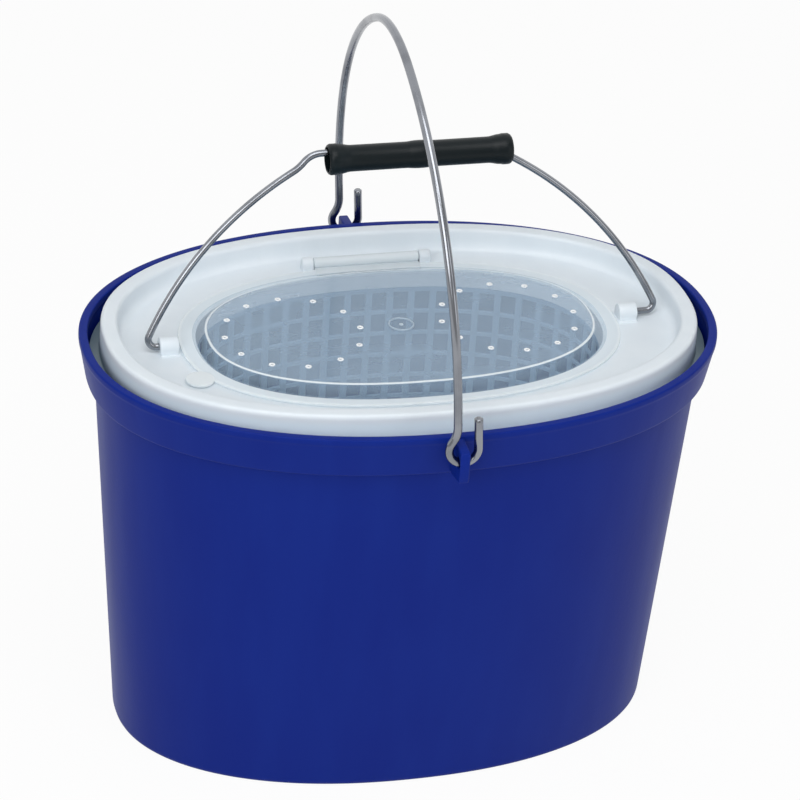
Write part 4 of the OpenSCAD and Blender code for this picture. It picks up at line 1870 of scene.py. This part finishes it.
    def build(self, frosted: Material, edge: Material) -> None:
        """Builds and dresses the lid.

        Args:
            frosted: The lid's plastic.
            edge: The near-white material of the vents' lips.
        """
        panel = soften(self.vent_pattern(frosted, edge).bake(self.panel()), SMOOTH_TO)
        panel.visible_shadow = False
        dress(panel, None, Body.LID, Slot.LID, "vent_lid")
        reach, low = self.barrel_l / 2 - 0.1, self.lid_z + 0.05
        leaf = block("leaf", (-reach, self.leaf_from, low), (reach, self.hinge_y, low + self.wall), 0.4)
        tab = plate("tab", [arc(self.tab, self.tab_d / 2, 0, 360, 48)[:-1]], self.wall, 0.5)
        moved(tab, Matrix.Translation((0, 0, low + self.wall / 2)))
        parts = [self.barrel(), leaf, tab, *self.gate()]
        for part, thick_and_highlight in zip(parts, (0.9, 0.85, 1.0, 0.35, 0.6)):
            set_thick(part, thick_and_highlight)
        dress(joined("lid_fittings", parts), frosted, Body.LID, Slot.LID)


# --------------------------------------------------------------------------
# Camera, floor and light
# --------------------------------------------------------------------------


@dataclass(frozen=True)
class Lamp:
    """A soft rectangular lamp that looks at the bucket."""

    name: str
    place: tuple[float, float, float]
    size: Point
    power: float
    aim: tuple[float, float, float] = (0.0, 0.0, 0.18)

    def hang(self) -> None:
        """Puts the lamp in the scene."""
        light = bpy.data.lights.new(self.name, "AREA")
        light.shape = "RECTANGLE"
        light.size, light.size_y = self.size
        light.energy = self.power
        way = Vector(self.aim) - Vector(self.place)
        turn = way.to_track_quat("-Z", "Y").to_matrix().to_4x4()
        linked(self.name, light).matrix_world = Matrix.Translation(self.place) @ turn


@dataclass
class Studio:
    """The photograph's camera, a white floor and soft lamps."""

    focal: float = 154.72
    distance: float = 2.03701
    elevation: float = 32.15
    azimuth: float = -16.19
    roll: float = 3.75
    aim_height: float = 0.12
    slide: Point = (0.00217, 0.07110)
    sky: float = 0.42
    lamps: list[Lamp] = field(
        default_factory=lambda: [
            Lamp("key", (-1.2, -1.6, 1.4), (1.4, 1.2), 17.5),
            Lamp("fill", (1.3, -1.6, 0.9), (1.0, 1.2), 4.5),
            Lamp("top", (-0.1, -0.6, 1.6), (1.0, 0.8), 8.2),
        ]
    )

    def camera(self) -> None:
        """Places the camera that the photograph was taken with."""
        turn, lift, roll = (math.radians(v) for v in (self.azimuth, self.elevation, self.roll))
        back = Vector((math.sin(turn) * math.cos(lift), -math.cos(turn) * math.cos(lift), math.sin(lift)))
        place = Vector((0, 0, self.aim_height)) + back * self.distance
        right = Vector((math.cos(turn), math.sin(turn), 0))
        up = back.cross(right)
        aim = Vector((0, 0, self.aim_height)) + right * self.slide[0] + up * self.slide[1]
        back = (place - aim).normalized()
        right = Vector((0, 0, 1)).cross(back).normalized()
        up = back.cross(right)
        across = right * math.cos(roll) + up * math.sin(roll)
        above = up * math.cos(roll) - right * math.sin(roll)
        lens = bpy.data.cameras.new("camera")
        lens.lens = self.focal
        lens.sensor_width = SENSOR
        lens.clip_end = 50.0
        eye = linked("camera", lens)
        frame = Matrix((across, above, back)).transposed().to_4x4()
        eye.matrix_world = Matrix.Translation(place) @ frame
        bpy.context.scene.camera = eye

    def floor(self) -> None:
        """Lays the floor."""
        shape = bmesh.new()
        bmesh.ops.create_grid(shape, x_segments=8, y_segments=8, size=6.0)
        floor = from_bmesh("floor", shape)
        floor.data.materials.append(FloorFinish("floor_white").material())

    def world(self) -> None:
        """Lights the world softly, and shows the backdrop white to the camera and in reflections."""
        world = bpy.data.worlds.new("studio")
        world.use_nodes = True
        world.node_tree.nodes.clear()
        sky = Graph(world.node_tree)
        way = sky.add("ShaderNodeSeparateXYZ", {0: sky.add("ShaderNodeTexCoord").outputs["Generated"]})
        behind = (sky.number(way.outputs[1]) + sky.number(way.outputs[2]) * 0.45).ramp(-0.15, 0.3)
        camera, glossy, through = sky.rays()
        seen = (camera + glossy * behind + through).clamped()
        dim, white = (
            sky.out("ShaderNodeBackground", {"Color": WHITE_LIGHT, "Strength": strength})
            for strength in (self.sky, 1.0)
        )
        mixed = sky.out("ShaderNodeMixShader", {0: seen, 1: dim, 2: white})
        sky.add("ShaderNodeOutputWorld", {"Surface": mixed})
        bpy.context.scene.world = world

    def build(self) -> None:
        """Builds the camera, the floor, the world and the lamps."""
        self.camera()
        self.floor()
        self.world()
        for lamp in self.lamps:
            lamp.hang()
        bpy.context.scene.view_settings.view_transform = "Standard"
        LOG.info("studio: %d lamps", len(self.lamps))


def main() -> None:
    """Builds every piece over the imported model."""
    logging.basicConfig(level=logging.INFO, format="%(message)s")
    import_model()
    blue, white, natural_painted_blue_shade = BLUE.material(), WHITE.material(), NATURAL_PAINTED_BLUE_SHADE.material()
    frosted, edge, steel, black = FROSTED.material(), VENT_EDGE.material(), WIRE.material(), BLACK.material()
    Studio().build()
    Bucket().build(blue)
    BucketBail().build(steel)
    Deck().build(white)
    Basket().build(natural_painted_blue_shade)
    VentLid().build(frosted, edge)
    LiftBail().build(steel, black)


if __name__ == "__main__":
    main()
